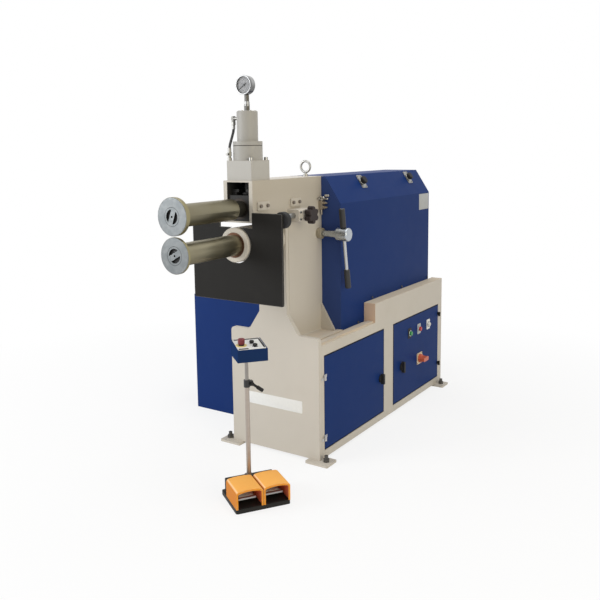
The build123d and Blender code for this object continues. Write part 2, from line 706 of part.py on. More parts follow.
def gear(z, bore, turn):
    face = Rot(0, 0, turn) * gear_face() - Circle(bore / 2)
    return Pos(0, GEAR_Y + GEAR_WIDTH, z) * extrude(Plane.XZ * face, GEAR_WIDTH)


def gears():
    """The pair meshes on the line between the axes: a tooth of one stands in a space of the other."""
    step = 360 / GEAR_TEETH
    lower = gear(LOWER_AXIS, LOWER_JOURNAL, 90)
    upper = gear(UPPER_AXIS, UPPER_JOURNAL, -90 + step / 2)
    return lower, upper


def shift_collar():
    """Ring in the lower shaft's groove, slotted on its side for the handle's eccentric pin."""
    y = (HANDLE_Y - COLLAR_WIDTH / 2, HANDLE_Y + COLLAR_WIDTH / 2)
    ring = bar_y(COLLAR_D, y, 0, LOWER_AXIS)
    ring -= bar_y(COLLAR_GROOVE + 2 * RUNNING, (y[0] - 1, y[1] + 1), 0, LOWER_AXIS)
    half = PIN_D / 2 + PIN_PLAY
    slot_z = (LOWER_AXIS + ECCENTRIC / 2 - PIN_D / 2, LOWER_AXIS + ECCENTRIC + PIN_D / 2 + 4 * PIN_PLAY)
    slot = slab((PIN_TIP - APART, COLLAR_D / 2 + 1), (HANDLE_Y - half, HANDLE_Y + half), slot_z)
    return ring - slot


# Handle
def handle_spindle():
    """Spindle through the column's side with the eccentric pin inside and the hub for the bar outside."""
    x = (INNER_HALF, HANDLE_HUB_X - HANDLE_HUB_LENGTH / 2)
    nose = COLUMN_HALF + HANDLE_BOSS + APART
    spindle = bar_x(SPINDLE_D, (x[0], nose), HANDLE_Y, LOWER_AXIS)
    cone = Cone(SPINDLE_D / 2, SPINDLE_NOSE_D / 2, x[1] - nose)
    spindle += Pos((nose + x[1]) / 2, HANDLE_Y, LOWER_AXIS) * Rot(0, 90, 0) * cone
    hub = bar_x(HANDLE_HUB_D, (x[1], x[1] + HANDLE_HUB_LENGTH), HANDLE_Y, LOWER_AXIS)
    outer = [e for e in hub.edges().filter_by(GeomType.CIRCLE) if e.center().X > HANDLE_HUB_X]
    spindle += fillet(outer, 9)
    pin = bar_x(PIN_D, (PIN_TIP, x[0]), HANDLE_Y, LOWER_AXIS + ECCENTRIC)
    spindle += pin
    hole = Cylinder(BAR_D / 2 + RUNNING, 2 * HANDLE_HUB_D)
    return spindle - Pos(HANDLE_HUB_X, HANDLE_Y, LOWER_AXIS) * Rot(BAR_TILT, 0, 0) * hole


def tommy_bar():
    """Sliding bar, dropped until its upper grip rests on the hub."""
    top = HANDLE_HUB_D / 2 + APART + GRIP_LENGTH
    place = Pos(HANDLE_HUB_X, HANDLE_Y, LOWER_AXIS) * Rot(BAR_TILT, 0, 0)
    end = 10
    bar = place * bar_z(BAR_D, (top - BAR_LENGTH + end, top - end), 0, 0)
    grips = []
    for low in (top - GRIP_LENGTH, top - BAR_LENGTH):
        grip = bar_z(GRIP_D, (low, low + GRIP_LENGTH), 0, 0)
        grip = fillet(grip.edges().filter_by(GeomType.CIRCLE), 5)
        grips.append(place * grip - bar)
    return [bar] + grips


# Stop plate
def stop_plate():
    """Plate behind the rolls, cut out from the top round the head and the arm tube, with its roller pin."""
    y = (PLATE_FRONT, PLATE_BACK)
    plate = slab((-PLATE_HALF, PLATE_HALF), y, (PLATE_BOTTOM, PLATE_TOP))
    plate = fillet(plate.edges().filter_by(Axis.Y), 8)
    cut = (y[0] - 1, y[1] + 1)
    notch_floor = LOWER_AXIS + ARM_D / 2
    plate -= slab((-PLATE_NOTCH_HALF, PLATE_NOTCH_HALF), cut, (notch_floor, PLATE_TOP + 1))
    plate -= bar_y(ARM_D + 3 * FREE, cut, 0, LOWER_AXIS)
    pin_end = PLATE_BACK + ROLLER_WIDTH + 2 * APART
    pin = bar_y(ROLLER_PIN, (PLATE_BACK, pin_end + 2), ROLLER_X, ROLLER_Z)
    pin += bar_y(1.6 * ROLLER_PIN, (pin_end, pin_end + 5), ROLLER_X, ROLLER_Z)
    return plate + pin


def guide_rods():
    """Two round rods behind the plate, one on each side of the head."""
    rod = bar_y(GUIDE_ROD_D, (PLATE_BACK, GUIDE_ROD_END), GUIDE_ROD_X, GUIDE_ROD_Z)
    end = [e for e in rod.edges().filter_by(GeomType.CIRCLE) if e.center().Y > 0]
    return both_sides(chamfer(end, 2))


def guide_roller():
    roller = bar_y(ROLLER_D, (PLATE_BACK + APART, PLATE_BACK + ROLLER_WIDTH), ROLLER_X, ROLLER_Z)
    roller = fillet(roller.edges().filter_by(GeomType.CIRCLE), 4)
    hole_y = (PLATE_BACK, PLATE_BACK + ROLLER_WIDTH + 1)
    return roller - bar_y(ROLLER_PIN + 2 * RUNNING, hole_y, ROLLER_X, ROLLER_Z)


def side_brackets():
    """Rod brackets and bolted pads on both sides of the column, and the handle spindle's bearing boss."""
    y = (BRACKET_START, BRACKET_END)
    z = (GUIDE_ROD_Z - BRACKET_HEIGHT / 2, GUIDE_ROD_Z + BRACKET_HEIGHT / 2)
    bracket = slab((COLUMN_HALF, BRACKET_OUT), y, z)
    outer = [e for e in bracket.edges().filter_by(Axis.Y) if e.center().X > COLUMN_HALF + 1]
    bracket = fillet(outer, 10)
    bracket -= bar_y(GUIDE_ROD_D + 2 * RUNNING, (y[0] - 1, y[1] + 1), GUIDE_ROD_X, GUIDE_ROD_Z)
    right, left = both_sides(bracket)
    right -= bar_x(KNOB_SCREW + 2 * RUNNING, (GUIDE_ROD_X, BRACKET_OUT + 1), KNOB_Y, GUIDE_ROD_Z)
    x = (COLUMN_HALF, COLUMN_HALF + HANDLE_BOSS)
    boss = bar_x(2 * SPINDLE_D, x, HANDLE_Y, LOWER_AXIS)
    boss -= bar_x(SPINDLE_D + 2 * RUNNING, (x[0] - 1, x[1] + 1), HANDLE_Y, LOWER_AXIS)
    brackets = [right, left, boss]
    pad_z = (PAD_Z - PAD_HIGH / 2, PAD_Z + PAD_HIGH / 2)
    for pad_y in PAD_YS:
        span = (pad_y - PAD_LONG / 2, pad_y + PAD_LONG / 2)
        pad = slab((COLUMN_HALF, COLUMN_HALF + PAD_THICK), span, pad_z)
        brackets += both_sides(fillet(pad.edges().filter_by(Axis.X), 4))
    return brackets


def lobed_knob(diameter, thick, lobes):
    """Star knob about Z: a round body with rounded lobes."""
    face = Circle(0.35 * diameter)
    for lobe in range(lobes):
        face += Rot(0, 0, 360 * lobe / lobes) * Pos(0.345 * diameter, 0) * Circle(0.155 * diameter)
    knob = extrude(face, thick)
    top = knob.faces().sort_by(Axis.Z)[-1]
    return chamfer(top.edges(), 0.09 * thick)


def star_knob():
    """Clamp screw of the guide rod with its star knob."""
    start = BRACKET_OUT + KNOB_NECK
    tip = GUIDE_ROD_X + GUIDE_ROD_D / 2 + APART
    knob = Pos(start, KNOB_Y, GUIDE_ROD_Z) * Rot(0, 90, 0) * lobed_knob(KNOB_D, KNOB_THICK, 6)
    return knob + bar_x(KNOB_SCREW, (tip, start + 1), KNOB_Y, GUIDE_ROD_Z)


# Rear bearings and drive
def bearing_stand():
    """Pedestal on the deck with the seats of both rear bearings and two rear ribs."""
    half = STAND_WIDTH / 2
    top = UPPER_AXIS + STAND_OVER
    y = (STAND_START, STAND_END)
    stand = slab((-half, half), y, (DECK_HEIGHT, top))
    stand = fillet([e for e in stand.edges().filter_by(Axis.Y) if e.center().Z > DECK_HEIGHT + 1], 60)
    stand += slab((-half, half), (STAND_START - 25, STAND_END + 25), (DECK_HEIGHT, DECK_HEIGHT + 20))
    for diameter, z in ((UPPER_RING_D, UPPER_AXIS), (LOWER_RING_D, LOWER_AXIS)):
        stand -= bar_y(diameter, (y[0] - 1, y[1] + 1), 0, z)
    window_z = (DECK_HEIGHT + 110, LOWER_AXIS - LOWER_RING_D)
    window = slab((-half + 60, half - 60), (y[0] - 1, y[1] + 1), window_z)
    return stand - fillet(window.edges().filter_by(Axis.Y), 30)


def bearing_rings():
    """Swivel socket of the upper shaft and plain ring of the lower shaft."""
    y = (STAND_START, STAND_END)
    socket = bar_y(UPPER_RING_D, y, 0, UPPER_AXIS) - Pos(0, PIVOT_Y, UPPER_AXIS) * Sphere(BALL_R + BALL_GAP)
    ring = bar_y(LOWER_RING_D, y, 0, LOWER_AXIS)
    return [socket, ring - bar_y(LOWER_TAIL + 2 * RUNNING, (y[0] - 1, y[1] + 1), 0, LOWER_AXIS)]


def gear_reducer():
    """Hollow-shaft bevel reducer on the lower shaft's tail, with a torque link down to the deck."""
    half = REDUCER_WIDTH / 2
    y = (REDUCER_START, REDUCER_END)
    body = slab((-half, half), y, (LOWER_AXIS - REDUCER_DOWN, LOWER_AXIS + REDUCER_UP))
    body = fillet(body.edges().filter_by(Axis.Y), 40)
    body += bar_y(LOWER_TAIL + 60, (y[0] - 16, y[1] + 8), 0, LOWER_AXIS)
    flange_z = (LOWER_AXIS - REDUCER_DOWN - 20, LOWER_AXIS - REDUCER_DOWN + 30)
    body += bar_z(MOTOR_FLANGE_D, (flange_z[0], flange_z[0] + 20), 0, REDUCER_MID)
    body += bar_z(MOTOR_D - 30, flange_z, 0, REDUCER_MID)
    body += slab((-half - 26, -half + 4), (y[0], y[0] + 16), (DECK_HEIGHT, LOWER_AXIS - REDUCER_DOWN / 2))
    return body - bar_y(LOWER_TAIL + 2 * RUNNING, (y[0] - 20, y[1] + 20), 0, LOWER_AXIS)


def drive_motor():
    """Flange motor hanging below the reducer: ribbed barrel, fan cowl and terminal box."""
    top = LOWER_AXIS - REDUCER_DOWN - 20
    low = top - MOTOR_LENGTH
    motor = bar_z(MOTOR_FLANGE_D, (top - 16, top), 0, REDUCER_MID)
    motor += bar_z(MOTOR_D - 20, (low + 60, top), 0, REDUCER_MID)
    ribs = 16
    fin = slab((MOTOR_D / 2 - 14, MOTOR_D / 2), (-2.5, 2.5), (low + 60, top - 30))
    for rib in range(ribs):
        motor += Pos(0, REDUCER_MID, 0) * Rot(0, 0, 360 * rib / ribs) * fin
    motor += bar_z(MOTOR_D + 4, (low, low + 70), 0, REDUCER_MID)
    box_y = (REDUCER_MID - 48, REDUCER_MID + 48)
    box = slab((MOTOR_D / 2 - 12, MOTOR_D / 2 + 46), box_y, (top - 190, top - 90))
    return motor + box


def cover_face(low):
    """Cross-section of the drive cover: upright sides and sloping shoulders."""
    points = [
        (-COVER_HALF, low),
        (COVER_HALF, low),
        (COVER_HALF, COVER_CHAMFER_LOW),
        (COVER_CHAMFER_HALF, COVER_TOP),
        (-COVER_CHAMFER_HALF, COVER_TOP),
        (-COVER_HALF, COVER_CHAMFER_LOW),
    ]
    return make_face(Polyline(*points, close=True))


def cover_knob_places():
    """Places of the catches up the sloping side, and the way the slope faces."""
    middle_x = COVER_HALF + COVER_KNOB_SHARE * (COVER_CHAMFER_HALF - COVER_HALF)
    middle_z = COVER_CHAMFER_LOW + COVER_KNOB_SHARE * (COVER_TOP - COVER_CHAMFER_LOW)
    slope = math.degrees(math.atan2(COVER_HALF - COVER_CHAMFER_HALF, COVER_TOP - COVER_CHAMFER_LOW))
    return [Pos(middle_x, y, middle_z) * Rot(0, 90 - slope, 0) for y in COVER_KNOB_YS]


def drive_cover():
    """Folded sheet hood over the gears and motor, open below and round the column."""
    outer = extrude(Plane.XZ * cover_face(DECK_HEIGHT), COVER_END - COVER_START)
    hood = Pos(0, COVER_END, 0) * outer
    inner_face = offset(cover_face(DECK_HEIGHT - 2 * COVER_SHEET), -COVER_SHEET, kind=Kind.INTERSECTION)
    inner = extrude(Plane.XZ * inner_face, COVER_END - COVER_START - 2 * COVER_SHEET)
    hood -= Pos(0, COVER_END - COVER_SHEET, 0) * inner
    passage = COLUMN_HALF + APART
    full_height = (DECK_HEIGHT - 1, COVER_TOP + 1)
    hood -= slab((-passage, passage), (COVER_START - 1, COLUMN_REAR + APART), full_height)
    for place in cover_knob_places():
        hood -= place * Cylinder(6 + RUNNING, 30)
    return hood


def cover_knobs():
    """Quarter-turn knobs of the cover's catches: round head, spindle and inner tongue."""
    knobs = []
    for place in cover_knob_places():
        head = Pos(0, 0, 8) * extrude(Circle(COVER_KNOB_D / 2), 22)
        head = fillet(head.edges().filter_by(GeomType.CIRCLE), 5)
        knob = head + bar_z(12, (-16, 9), 0, 0)
        knob += slab((-8, 26), (-7, 7), (-16, -11))
        knobs.append(place * knob)
    return knobs


# Doors
def hinge_axis(door):
    """X and Y of a door's hinge line: the front edge of the front door, the rear edge of the rear door."""
    edge = FRONT_DOOR[0] - HINGE_OFF if door == FRONT_DOOR else REAR_DOOR[1] + HINGE_OFF
    return HALF + HINGE_OUT, edge


def hinge_leaf(door, z, on_door):
    """One leaf with its half of the barrel; the frame's leaf has the lower half and the pin."""
    x, y = hinge_axis(door)
    towards_door = 1 if door == FRONT_DOOR else -1
    side = towards_door if on_door else -towards_door
    face = DOOR_FACE if on_door else HALF
    half = (z + APART, z + HINGE_HALF) if on_door else (z - HINGE_HALF, z)
    leaf_y = sorted((y, y + side * HINGE_LEAF))
    leaf = slab((face, face + 4), leaf_y, half) + bar_z(HINGE_BARREL, half, x, y)
    if on_door:
        return leaf - bar_z(HINGE_PIN + 2 * RUNNING, (z, z + HINGE_HALF - 4), x, y)
    return leaf + bar_z(HINGE_PIN, (z - 1, z + HINGE_HALF - 5), x, y)


def door_tray(door):
    """Folded door: a front sheet with its edges turned in."""
    y = door
    tray = slab((DOOR_FACE - DOOR_DEPTH, DOOR_FACE), y, (DOOR_BOTTOM, DOOR_TOP))
    inner_y = (y[0] + DOOR_SHEET, y[1] - DOOR_SHEET)
    inner_z = (DOOR_BOTTOM + DOOR_SHEET, DOOR_TOP - DOOR_SHEET)
    return tray - slab((DOOR_FACE - DOOR_DEPTH - 1, DOOR_FACE - DOOR_SHEET), inner_y, inner_z)


def front_door():
    door = door_tray(FRONT_DOOR)
    for z in FRONT_HINGE_ZS:
        door += hinge_leaf(FRONT_DOOR, z, True)
    through = (DOOR_FACE - DOOR_DEPTH, DOOR_FACE + 1)
    return door - bar_x(LATCH_D + 2 * RUNNING, through, FRONT_LATCH_Y, LATCH_Z)


def rear_door():
    door = door_tray(REAR_DOOR)
    for z in REAR_HINGE_ZS:
        door += hinge_leaf(REAR_DOOR, z, True)
    holes = ((LATCH_D, REAR_LATCH_Y, LATCH_Z), (SWITCH_SPINDLE_D, SWITCH_Y, SWITCH_Z))
    holes += ((BUTTON_D - 6, START_Y, BUTTON_Z), (BUTTON_D - 6, STOP_Y, BUTTON_Z))
    for diameter, y, z in holes:
        door -= bar_x(diameter + 2 * RUNNING, (DOOR_FACE - DOOR_DEPTH, DOOR_FACE + 1), y, z)
    return door


def door_hinges():
    leaves = [hinge_leaf(FRONT_DOOR, z, False) for z in FRONT_HINGE_ZS]
    return leaves + [hinge_leaf(REAR_DOOR, z, False) for z in REAR_HINGE_ZS]


def door_latch(y, wing, reach):
    """Turn latch: wing on a boss outside, tongue behind the door, standing upright while unlocked."""
    back = DOOR_FACE - DOOR_DEPTH
    latch = bar_x(46, (DOOR_FACE + APART, DOOR_FACE + 9), y, LATCH_Z)
    latch += bar_x(LATCH_D, (back - 6, DOOR_FACE + 1), y, LATCH_Z)
    grip = slab((DOOR_FACE + 8, DOOR_FACE + 26), (y - 9, y + 9), (LATCH_Z - wing, LATCH_Z + wing))
    latch += fillet(grip.edges().filter_by(Axis.X), 8)
    return latch + slab((back - 6, back - 2), (y - 9, y + 9), (LATCH_Z - 9, LATCH_Z + reach))


def push_button(y):
    """Door push button: cap outside, stem through the sheet with a collar that keeps it in."""
    cap = bar_x(BUTTON_D, (DOOR_FACE + BUTTON_TRAVEL + APART, DOOR_FACE + BUTTON_OUT + 4), y, BUTTON_Z)
    rim = [e for e in cap.edges().filter_by(GeomType.CIRCLE) if e.center().X > DOOR_FACE + BUTTON_OUT]
    cap = fillet(rim, 3)
    stem_low = DOOR_FACE - DOOR_SHEET - APART - 5
    stem = bar_x(BUTTON_D - 6, (stem_low, DOOR_FACE + BUTTON_TRAVEL + 1), y, BUTTON_Z)
    return cap + stem + bar_x(BUTTON_D, (stem_low - 4, stem_low + 5), y, BUTTON_Z)


def main_switch():
    """Rotary main switch: round base, raised bar handle and spindle through the door."""
    switch = bar_x(SWITCH_D, (DOOR_FACE + APART, DOOR_FACE + 16), SWITCH_Y, SWITCH_Z)
    long, wide = SWITCH_GRIP
    grip_y = (SWITCH_Y - long / 2, SWITCH_Y + long / 2)
    grip = slab((DOOR_FACE + 14, DOOR_FACE + SWITCH_OUT), grip_y, (SWITCH_Z - wide / 2, SWITCH_Z + wide / 2))
    switch += fillet(grip.edges().filter_by(Axis.X), 8)
    return switch + bar_x(SWITCH_SPINDLE_D, (DOOR_FACE - DOOR_DEPTH, DOOR_FACE + 1), SWITCH_Y, SWITCH_Z)


def electrical_panel():
    """Mounting plate on the far wall behind the rear door, with its switchgear and wiring duct."""
    wall = BASE_WALL - HALF
    face = wall + 28
    y = (REAR_DOOR[0] + 50, REAR_DOOR[1] - 50)
    z = (FOOT_THICK + 60, DECK_HEIGHT - 70)
    panel = slab((face - 3, face), y, z)
    for corner_y in (y[0] + 25, y[1] - 25):
        for corner_z in (z[0] + 25, z[1] - 25):
            panel += bar_x(16, (wall, face - 2), corner_y, corner_z)
    blocks = 6
    pitch = (y[1] - y[0] - 120) / blocks
    for block in range(blocks):
        block_y = y[0] + 70 + block * pitch
        panel += slab((face - 1, face + 82), (block_y, block_y + 0.6 * pitch), (z[1] - 150, z[1] - 60))
    panel += slab((face - 1, face + 110), (y[0] + 60, y[0] + 190), (z[0] + 50, z[0] + 150))
    panel += slab((face - 1, face + 140), (y[0] + 260, y[0] + 400), (z[0] + 40, z[0] + 220))
    return panel + slab((face - 1, face + 60), (y[0] + 40, y[1] - 40), (z[1] - 220, z[1] - 180))


# Power pack
def pack_box():
    """Limits of the enclosure beside the base."""
    return (-HALF - PACK_WIDTH, -HALF), (PACK_START, PACK_START + PACK_LENGTH), (0, PACK_HEIGHT)


def pack_cabinet():
    """Sheet enclosure with a lapped lid and cooling slots on its outer side."""
    x, y, z = pack_box()
    wall = PACK_SHEET
    shell = slab(x, y, z)
    shell = fillet(shell.edges().filter_by(Axis.Z), 8)
    inside_x = (x[0] + wall, x[1] - wall)
    inside_y = (y[0] + wall, y[1] - wall)
    shell -= slab(inside_x, inside_y, (wall, PACK_HEIGHT - wall))
    middle_y = (y[0] + y[1]) / 2
    slot_y = (middle_y - LOUVRE_LENGTH / 2, middle_y + LOUVRE_LENGTH / 2)
    for slot in range(LOUVRE_COUNT):
        slot_z = PACK_HEIGHT - LOUVRE_DROP - LOUVRE_PITCH * slot
        shell -= slab((x[0] - 1, x[0] + wall + 1), slot_y, (slot_z, slot_z + LOUVRE_HEIGHT))
    return shell


def power_pack():
    """Oil tank with lid, upright pump motor and valve block, standing on the enclosure's floor."""
    x, y, z = pack_box()
    middle_x = (x[0] + x[1]) / 2
    middle_y = (y[0] + y[1]) / 2
    half_x, half_y, height = TANK_SIZE[0] / 2, TANK_SIZE[1] / 2, TANK_SIZE[2]
    floor = PACK_SHEET
    lid_low = floor + height
    lid_top = lid_low + TANK_LID
    tank = slab((-half_x, half_x), (-half_y, half_y), (floor, lid_low))
    tank = fillet(tank.edges().filter_by(Axis.Z), 8)
    inner_x = half_x - TANK_WALL
    inner_y = half_y - TANK_WALL
    tank -= slab((-inner_x, inner_x), (-inner_y, inner_y), (floor + TANK_WALL, lid_low))
    lid_x = half_x + TANK_LID
    lid_y = half_y + TANK_LID
    tank += slab((-lid_x, lid_x), (-lid_y, lid_y), (lid_low, lid_top))
    pump_y = -0.23 * TANK_SIZE[1]
    tank += bar_z(1.25 * PUMP_MOTOR_D, (lid_top, lid_top + 18), 0, pump_y)
    tank += bar_z(PUMP_MOTOR_D, (lid_top + 18, lid_top + 18 + PUMP_MOTOR_HEIGHT), 0, pump_y)
    valve_y = -pump_y
    tank += slab((-60, 60), (valve_y - 60, valve_y + 40), (lid_top, lid_top + 98))
    for side in (-30, 30):
        tank += bar_z(46, (lid_top + 98, lid_top + 178), side, valve_y - 10)
    neck = (-0.65 * half_x, 0.77 * half_y)
    tank += bar_z(60, (lid_top, lid_top + 48), *neck)
    tank -= bar_z(40, (lid_low - 1, lid_top + 49), *neck)
    return Pos(middle_x, middle_y, 0) * tank


# Pedal station, made in its own frame: X along the pedals, Y away from the operator
STATION = Pos(STATION_X, STATION_Y, 0) * Rot(0, 0, STATION_YAW)
GUARD_FRONT = -PEDAL_BASE[1] / 2
GUARD_MIDDLES = (-GUARD_WIDTH / 2 - 1, GUARD_WIDTH / 2 + 1)
BASE_TOP = PEDAL_BASE[2]
HOUSING_FRONT = GUARD_FRONT + GUARD_DEPTH + APART
POST_Y = HOUSING_FRONT + HOUSING_SIZE[1] / 2
POST_LOW = BASE_TOP + HOUSING_SIZE[2]
PEDAL_Y = GUARD_FRONT + GUARD_DEPTH - 2 * GUARD_WALL - 12
PEDAL_Z = BASE_TOP + PEDAL_THICK + 14
CLAMP_BOLT_X = POST_X + CLAMP_D / 2 + 6
CONSOLE = STATION * Pos(POST_X, POST_Y, 0) * Rot(0, 0, CONSOLE_TURN)
CONSOLE_EDGE = -CONSOLE_DEPTH / 2 - CONSOLE_FORWARD
PANEL = CONSOLE * Pos(CONSOLE_SHIFT, CONSOLE_EDGE, CONSOLE_BOTTOM + CONSOLE_FRONT) * Rot(CONSOLE_TILT, 0, 0)
PANEL_WALL = 1.2 * CONSOLE_WALL
STOP_PLACE = (-0.28 * CONSOLE_WIDTH, 0.41 * CONSOLE_DEPTH)
LEFT_PLACE = (0.1 * CONSOLE_WIDTH, 0.55 * CONSOLE_DEPTH)
RIGHT_PLACE = (0.14 * CONSOLE_WIDTH, 0.25 * CONSOLE_DEPTH)


def pedal_base():
    """Floor plate with hinge ears for both pedals and the switch housing at the rear."""
    width, depth, height = PEDAL_BASE
    base = slab((-width / 2, width / 2), (-depth / 2, depth / 2), (0, height))
    base = fillet(base.edges().filter_by(Axis.Z), 10)
    for middle in GUARD_MIDDLES:
        for side in (-1, 1):
            x = middle + side * (PEDAL_WIDTH / 2 + 6)
            base += slab((x - 4, x + 4), (PEDAL_Y - 10, PEDAL_Y + 10), (height, PEDAL_Z + 8))
            inner = middle + side * (PEDAL_WIDTH / 2 - 8)
            base += bar_x(PEDAL_PIN_D, sorted((inner, x)), PEDAL_Y, PEDAL_Z)
    long, deep, high = HOUSING_SIZE
    housing = slab((-long / 2, long / 2), (HOUSING_FRONT, HOUSING_FRONT + deep), (height, height + high))
    upper = [e for e in housing.edges() if e.center().Z > height + 1]
    return STATION * (base + fillet(upper, 6))


def pedal(middle):
    """Tread plate that slopes down to its toe, with a hinge barrel at the rear."""
    toe_z = BASE_TOP + PEDAL_TOE_RISE
    half = PEDAL_WIDTH / 2
    toe_y = PEDAL_Y - PEDAL_LENGTH
    heel = (PEDAL_Z - PEDAL_THICK / 2, PEDAL_Z + PEDAL_THICK / 2)
    side = [(toe_y, toe_z), (PEDAL_Y, heel[0]), (PEDAL_Y, heel[1]), (toe_y, toe_z + PEDAL_THICK)]
    tread = plate_x(side, (middle - half, middle + half))
    tread += bar_x(PEDAL_PIN_D + 10, (middle - half, middle + half), PEDAL_Y, PEDAL_Z)
    for end in (-1, 1):
        hole = sorted((middle + end * (half - 10), middle + end * (half + 1)))
        tread -= bar_x(PEDAL_PIN_D + 2 * RUNNING, hole, PEDAL_Y, PEDAL_Z)
    return STATION * tread


def guard_face(inset):
    """Front of a guard: upright sides, round shoulders and a top that bows up a little."""
    half = GUARD_WIDTH / 2 - inset
    height = GUARD_HEIGHT - inset
    spring = height - GUARD_CROWN
    edge = [Polyline((-half, spring), (-half, 0), (half, 0), (half, spring))]
    edge.append(ThreePointArc((half, spring), (0, height), (-half, spring)))
    face = make_face(edge)
    return fillet(face.vertices().filter_by(lambda v: v.Y > 1), GUARD_ROUND - inset)


def pedal_guards():
    """Two hoods over the pedals, closed behind and open to the operator."""
    guards = []
    for middle in GUARD_MIDDLES:
        hood = extrude(Plane.XZ * guard_face(0), GUARD_DEPTH)
        inner = extrude(Plane.XZ * guard_face(GUARD_WALL), GUARD_DEPTH)
        place = Pos(middle, GUARD_FRONT + GUARD_DEPTH, BASE_TOP)
        guards.append(STATION * place * (hood - Pos(0, -GUARD_WALL, 0) * inner))
    return guards


def post_lower():
    """Lower tube on its foot flange, with the clamp ring at its mouth."""
    bore = POST_INNER_D + 2 * RUNNING
    tube = bar_z(POST_D, (POST_LOW, POST_TOP), POST_X, POST_Y)
    tube += bar_z(2 * POST_D, (POST_LOW, POST_LOW + 8), POST_X, POST_Y)
    tube -= bar_z(bore, (POST_LOW + 20, POST_TOP + 1), POST_X, POST_Y)
    ring_z = (POST_TOP - CLAMP_HEIGHT / 2, POST_TOP + CLAMP_HEIGHT / 2)
    ring = bar_z(CLAMP_D, ring_z, POST_X, POST_Y)
    ear_x = (CLAMP_BOLT_X - 11, CLAMP_BOLT_X + 7)
    ring += slab(ear_x, (POST_Y - 11, POST_Y + 11), (POST_TOP - 12, POST_TOP + 12))
    ring -= bar_z(POST_D, (ring_z[0] - 1, POST_TOP), POST_X, POST_Y)
    ring -= bar_z(bore, (POST_TOP - 1, ring_z[1] + 1), POST_X, POST_Y)
    ring -= bar_y(CLAMP_BOLT_D + 2 * RUNNING, (POST_Y - 20, POST_Y + 20), CLAMP_BOLT_X, POST_TOP)
    return [STATION * tube, STATION * ring]


def clamp_lever():
    """Cranked clamp lever on a cross bolt through the ring's ears, pointing down to the side."""
    lever = bar_y(CLAMP_BOLT_D, (-14, 11 - APART), 0, 0)
    arm = slab((0, LEVER_LENGTH), (-22, -14), (-6, 6))
    arm = fillet(arm.edges().filter_by(Axis.Y), 5)
    lever += arm + bar_y(18, (-22, -11 - APART), 0, 0)
    lever += Pos(0.72 * LEVER_LENGTH, -18, 0) * Rot(0, 90, 0) * Cylinder(9, 0.5 * LEVER_LENGTH)
    return STATION * Pos(CLAMP_BOLT_X, POST_Y, POST_TOP) * Rot(0, LEVER_DROP, 0) * lever


def post_upper():
    """Upper tube with the flange that carries the console."""
    tube = bar_z(POST_INNER_D, (POST_TOP - POST_OVERLAP, CONSOLE_BOTTOM), 0, 0)
    return CONSOLE * (tube + bar_z(2.6 * POST_INNER_D, (CONSOLE_BOTTOM - 5, CONSOLE_BOTTOM), 0, 0))


def console_side(inset):
    """Side outline of the console, drawn in by a wall."""
    rise = CONSOLE_DEPTH * math.tan(math.radians(CONSOLE_TILT))
    front = CONSOLE_EDGE + inset
    back = CONSOLE_EDGE + CONSOLE_DEPTH - inset
    low = CONSOLE_BOTTOM + inset
    high = CONSOLE_BOTTOM + CONSOLE_FRONT - 1.2 * inset
    return [(front, low), (back, low), (back, high + rise), (front, high)]


def console_box():
    """Desk-shaped sheet box with a sloping top panel, drilled for the controls."""
    half = CONSOLE_WIDTH / 2
    inner = half - CONSOLE_WALL
    box = plate_x(console_side(0), (CONSOLE_SHIFT - half, CONSOLE_SHIFT + half))
    box -= plate_x(console_side(CONSOLE_WALL), (CONSOLE_SHIFT - inner, CONSOLE_SHIFT + inner))
    box = CONSOLE * box
    small = CONSOLE_BUTTON_D - 6
    for place, diameter in ((STOP_PLACE, ESTOP_D - 14), (LEFT_PLACE, small), (RIGHT_PLACE, small)):
        box -= PANEL * Pos(*place, 0) * Cylinder(diameter / 2 + RUNNING, 4 * CONSOLE_WALL)
    return box


def console_control(place, cap_d, stem_d, cap_low, cap_high):
    """Push control square to the panel: cap, stem and the collar below the sheet."""
    cap = bar_z(cap_d, (cap_low, cap_high), 0, 0)
    cap = fillet([e for e in cap.edges().filter_by(GeomType.CIRCLE) if e.center().Z > cap_low + 1], 3)
    under = -PANEL_WALL - APART
    stem = bar_z(stem_d, (under - 8, cap_low + 1), 0, 0) + bar_z(stem_d + 5, (under - 8, under), 0, 0)
    return PANEL * Pos(*place, 0) * (cap + stem)


# Small fasteners
def machine_bolts():
    """Levelling bolts, cylinder block screws, pad bolts and the screws along the cover's lower edge."""
    bolts = level_bolts()
    for sx in (-1, 1):
        for sy in (-1, 1):
            x = sx * (BLOCK_WIDTH / 2 - BLOCK_SCREW_INSET)
            y = PRESS_Y + sy * (BLOCK_DEPTH / 2 - BLOCK_SCREW_INSET)
            if (sx, sy) != (-1, -1):
                bolts.append(bar_z(BLOCK_SCREW_D, (BLOCK_TOP, BLOCK_TOP + BLOCK_SCREW_HIGH), x, y))
    pad_face = COLUMN_HALF + PAD_THICK
    for pad_y in PAD_YS:
        for side in (-1, 1):
            bolt_y = pad_y + side * PAD_BOLT_SPREAD / 2
            bolts += both_sides(bar_x(PAD_BOLT_D, (pad_face, pad_face + 8), bolt_y, PAD_Z))
    rear_y = COVER_END - 17
    over_rail = RAIL_TOP + 14
    rail_ys = (RAIL_START + 99, (RAIL_START + 99 + rear_y) / 2, rear_y)
    for y, z in [(RAIL_START - 74, DECK_HEIGHT + 12)] + [(rail_y, over_rail) for rail_y in rail_ys]:
        bolts += both_sides(bar_x(12, (COVER_HALF, COVER_HALF + 6), y, z))
    return bolts


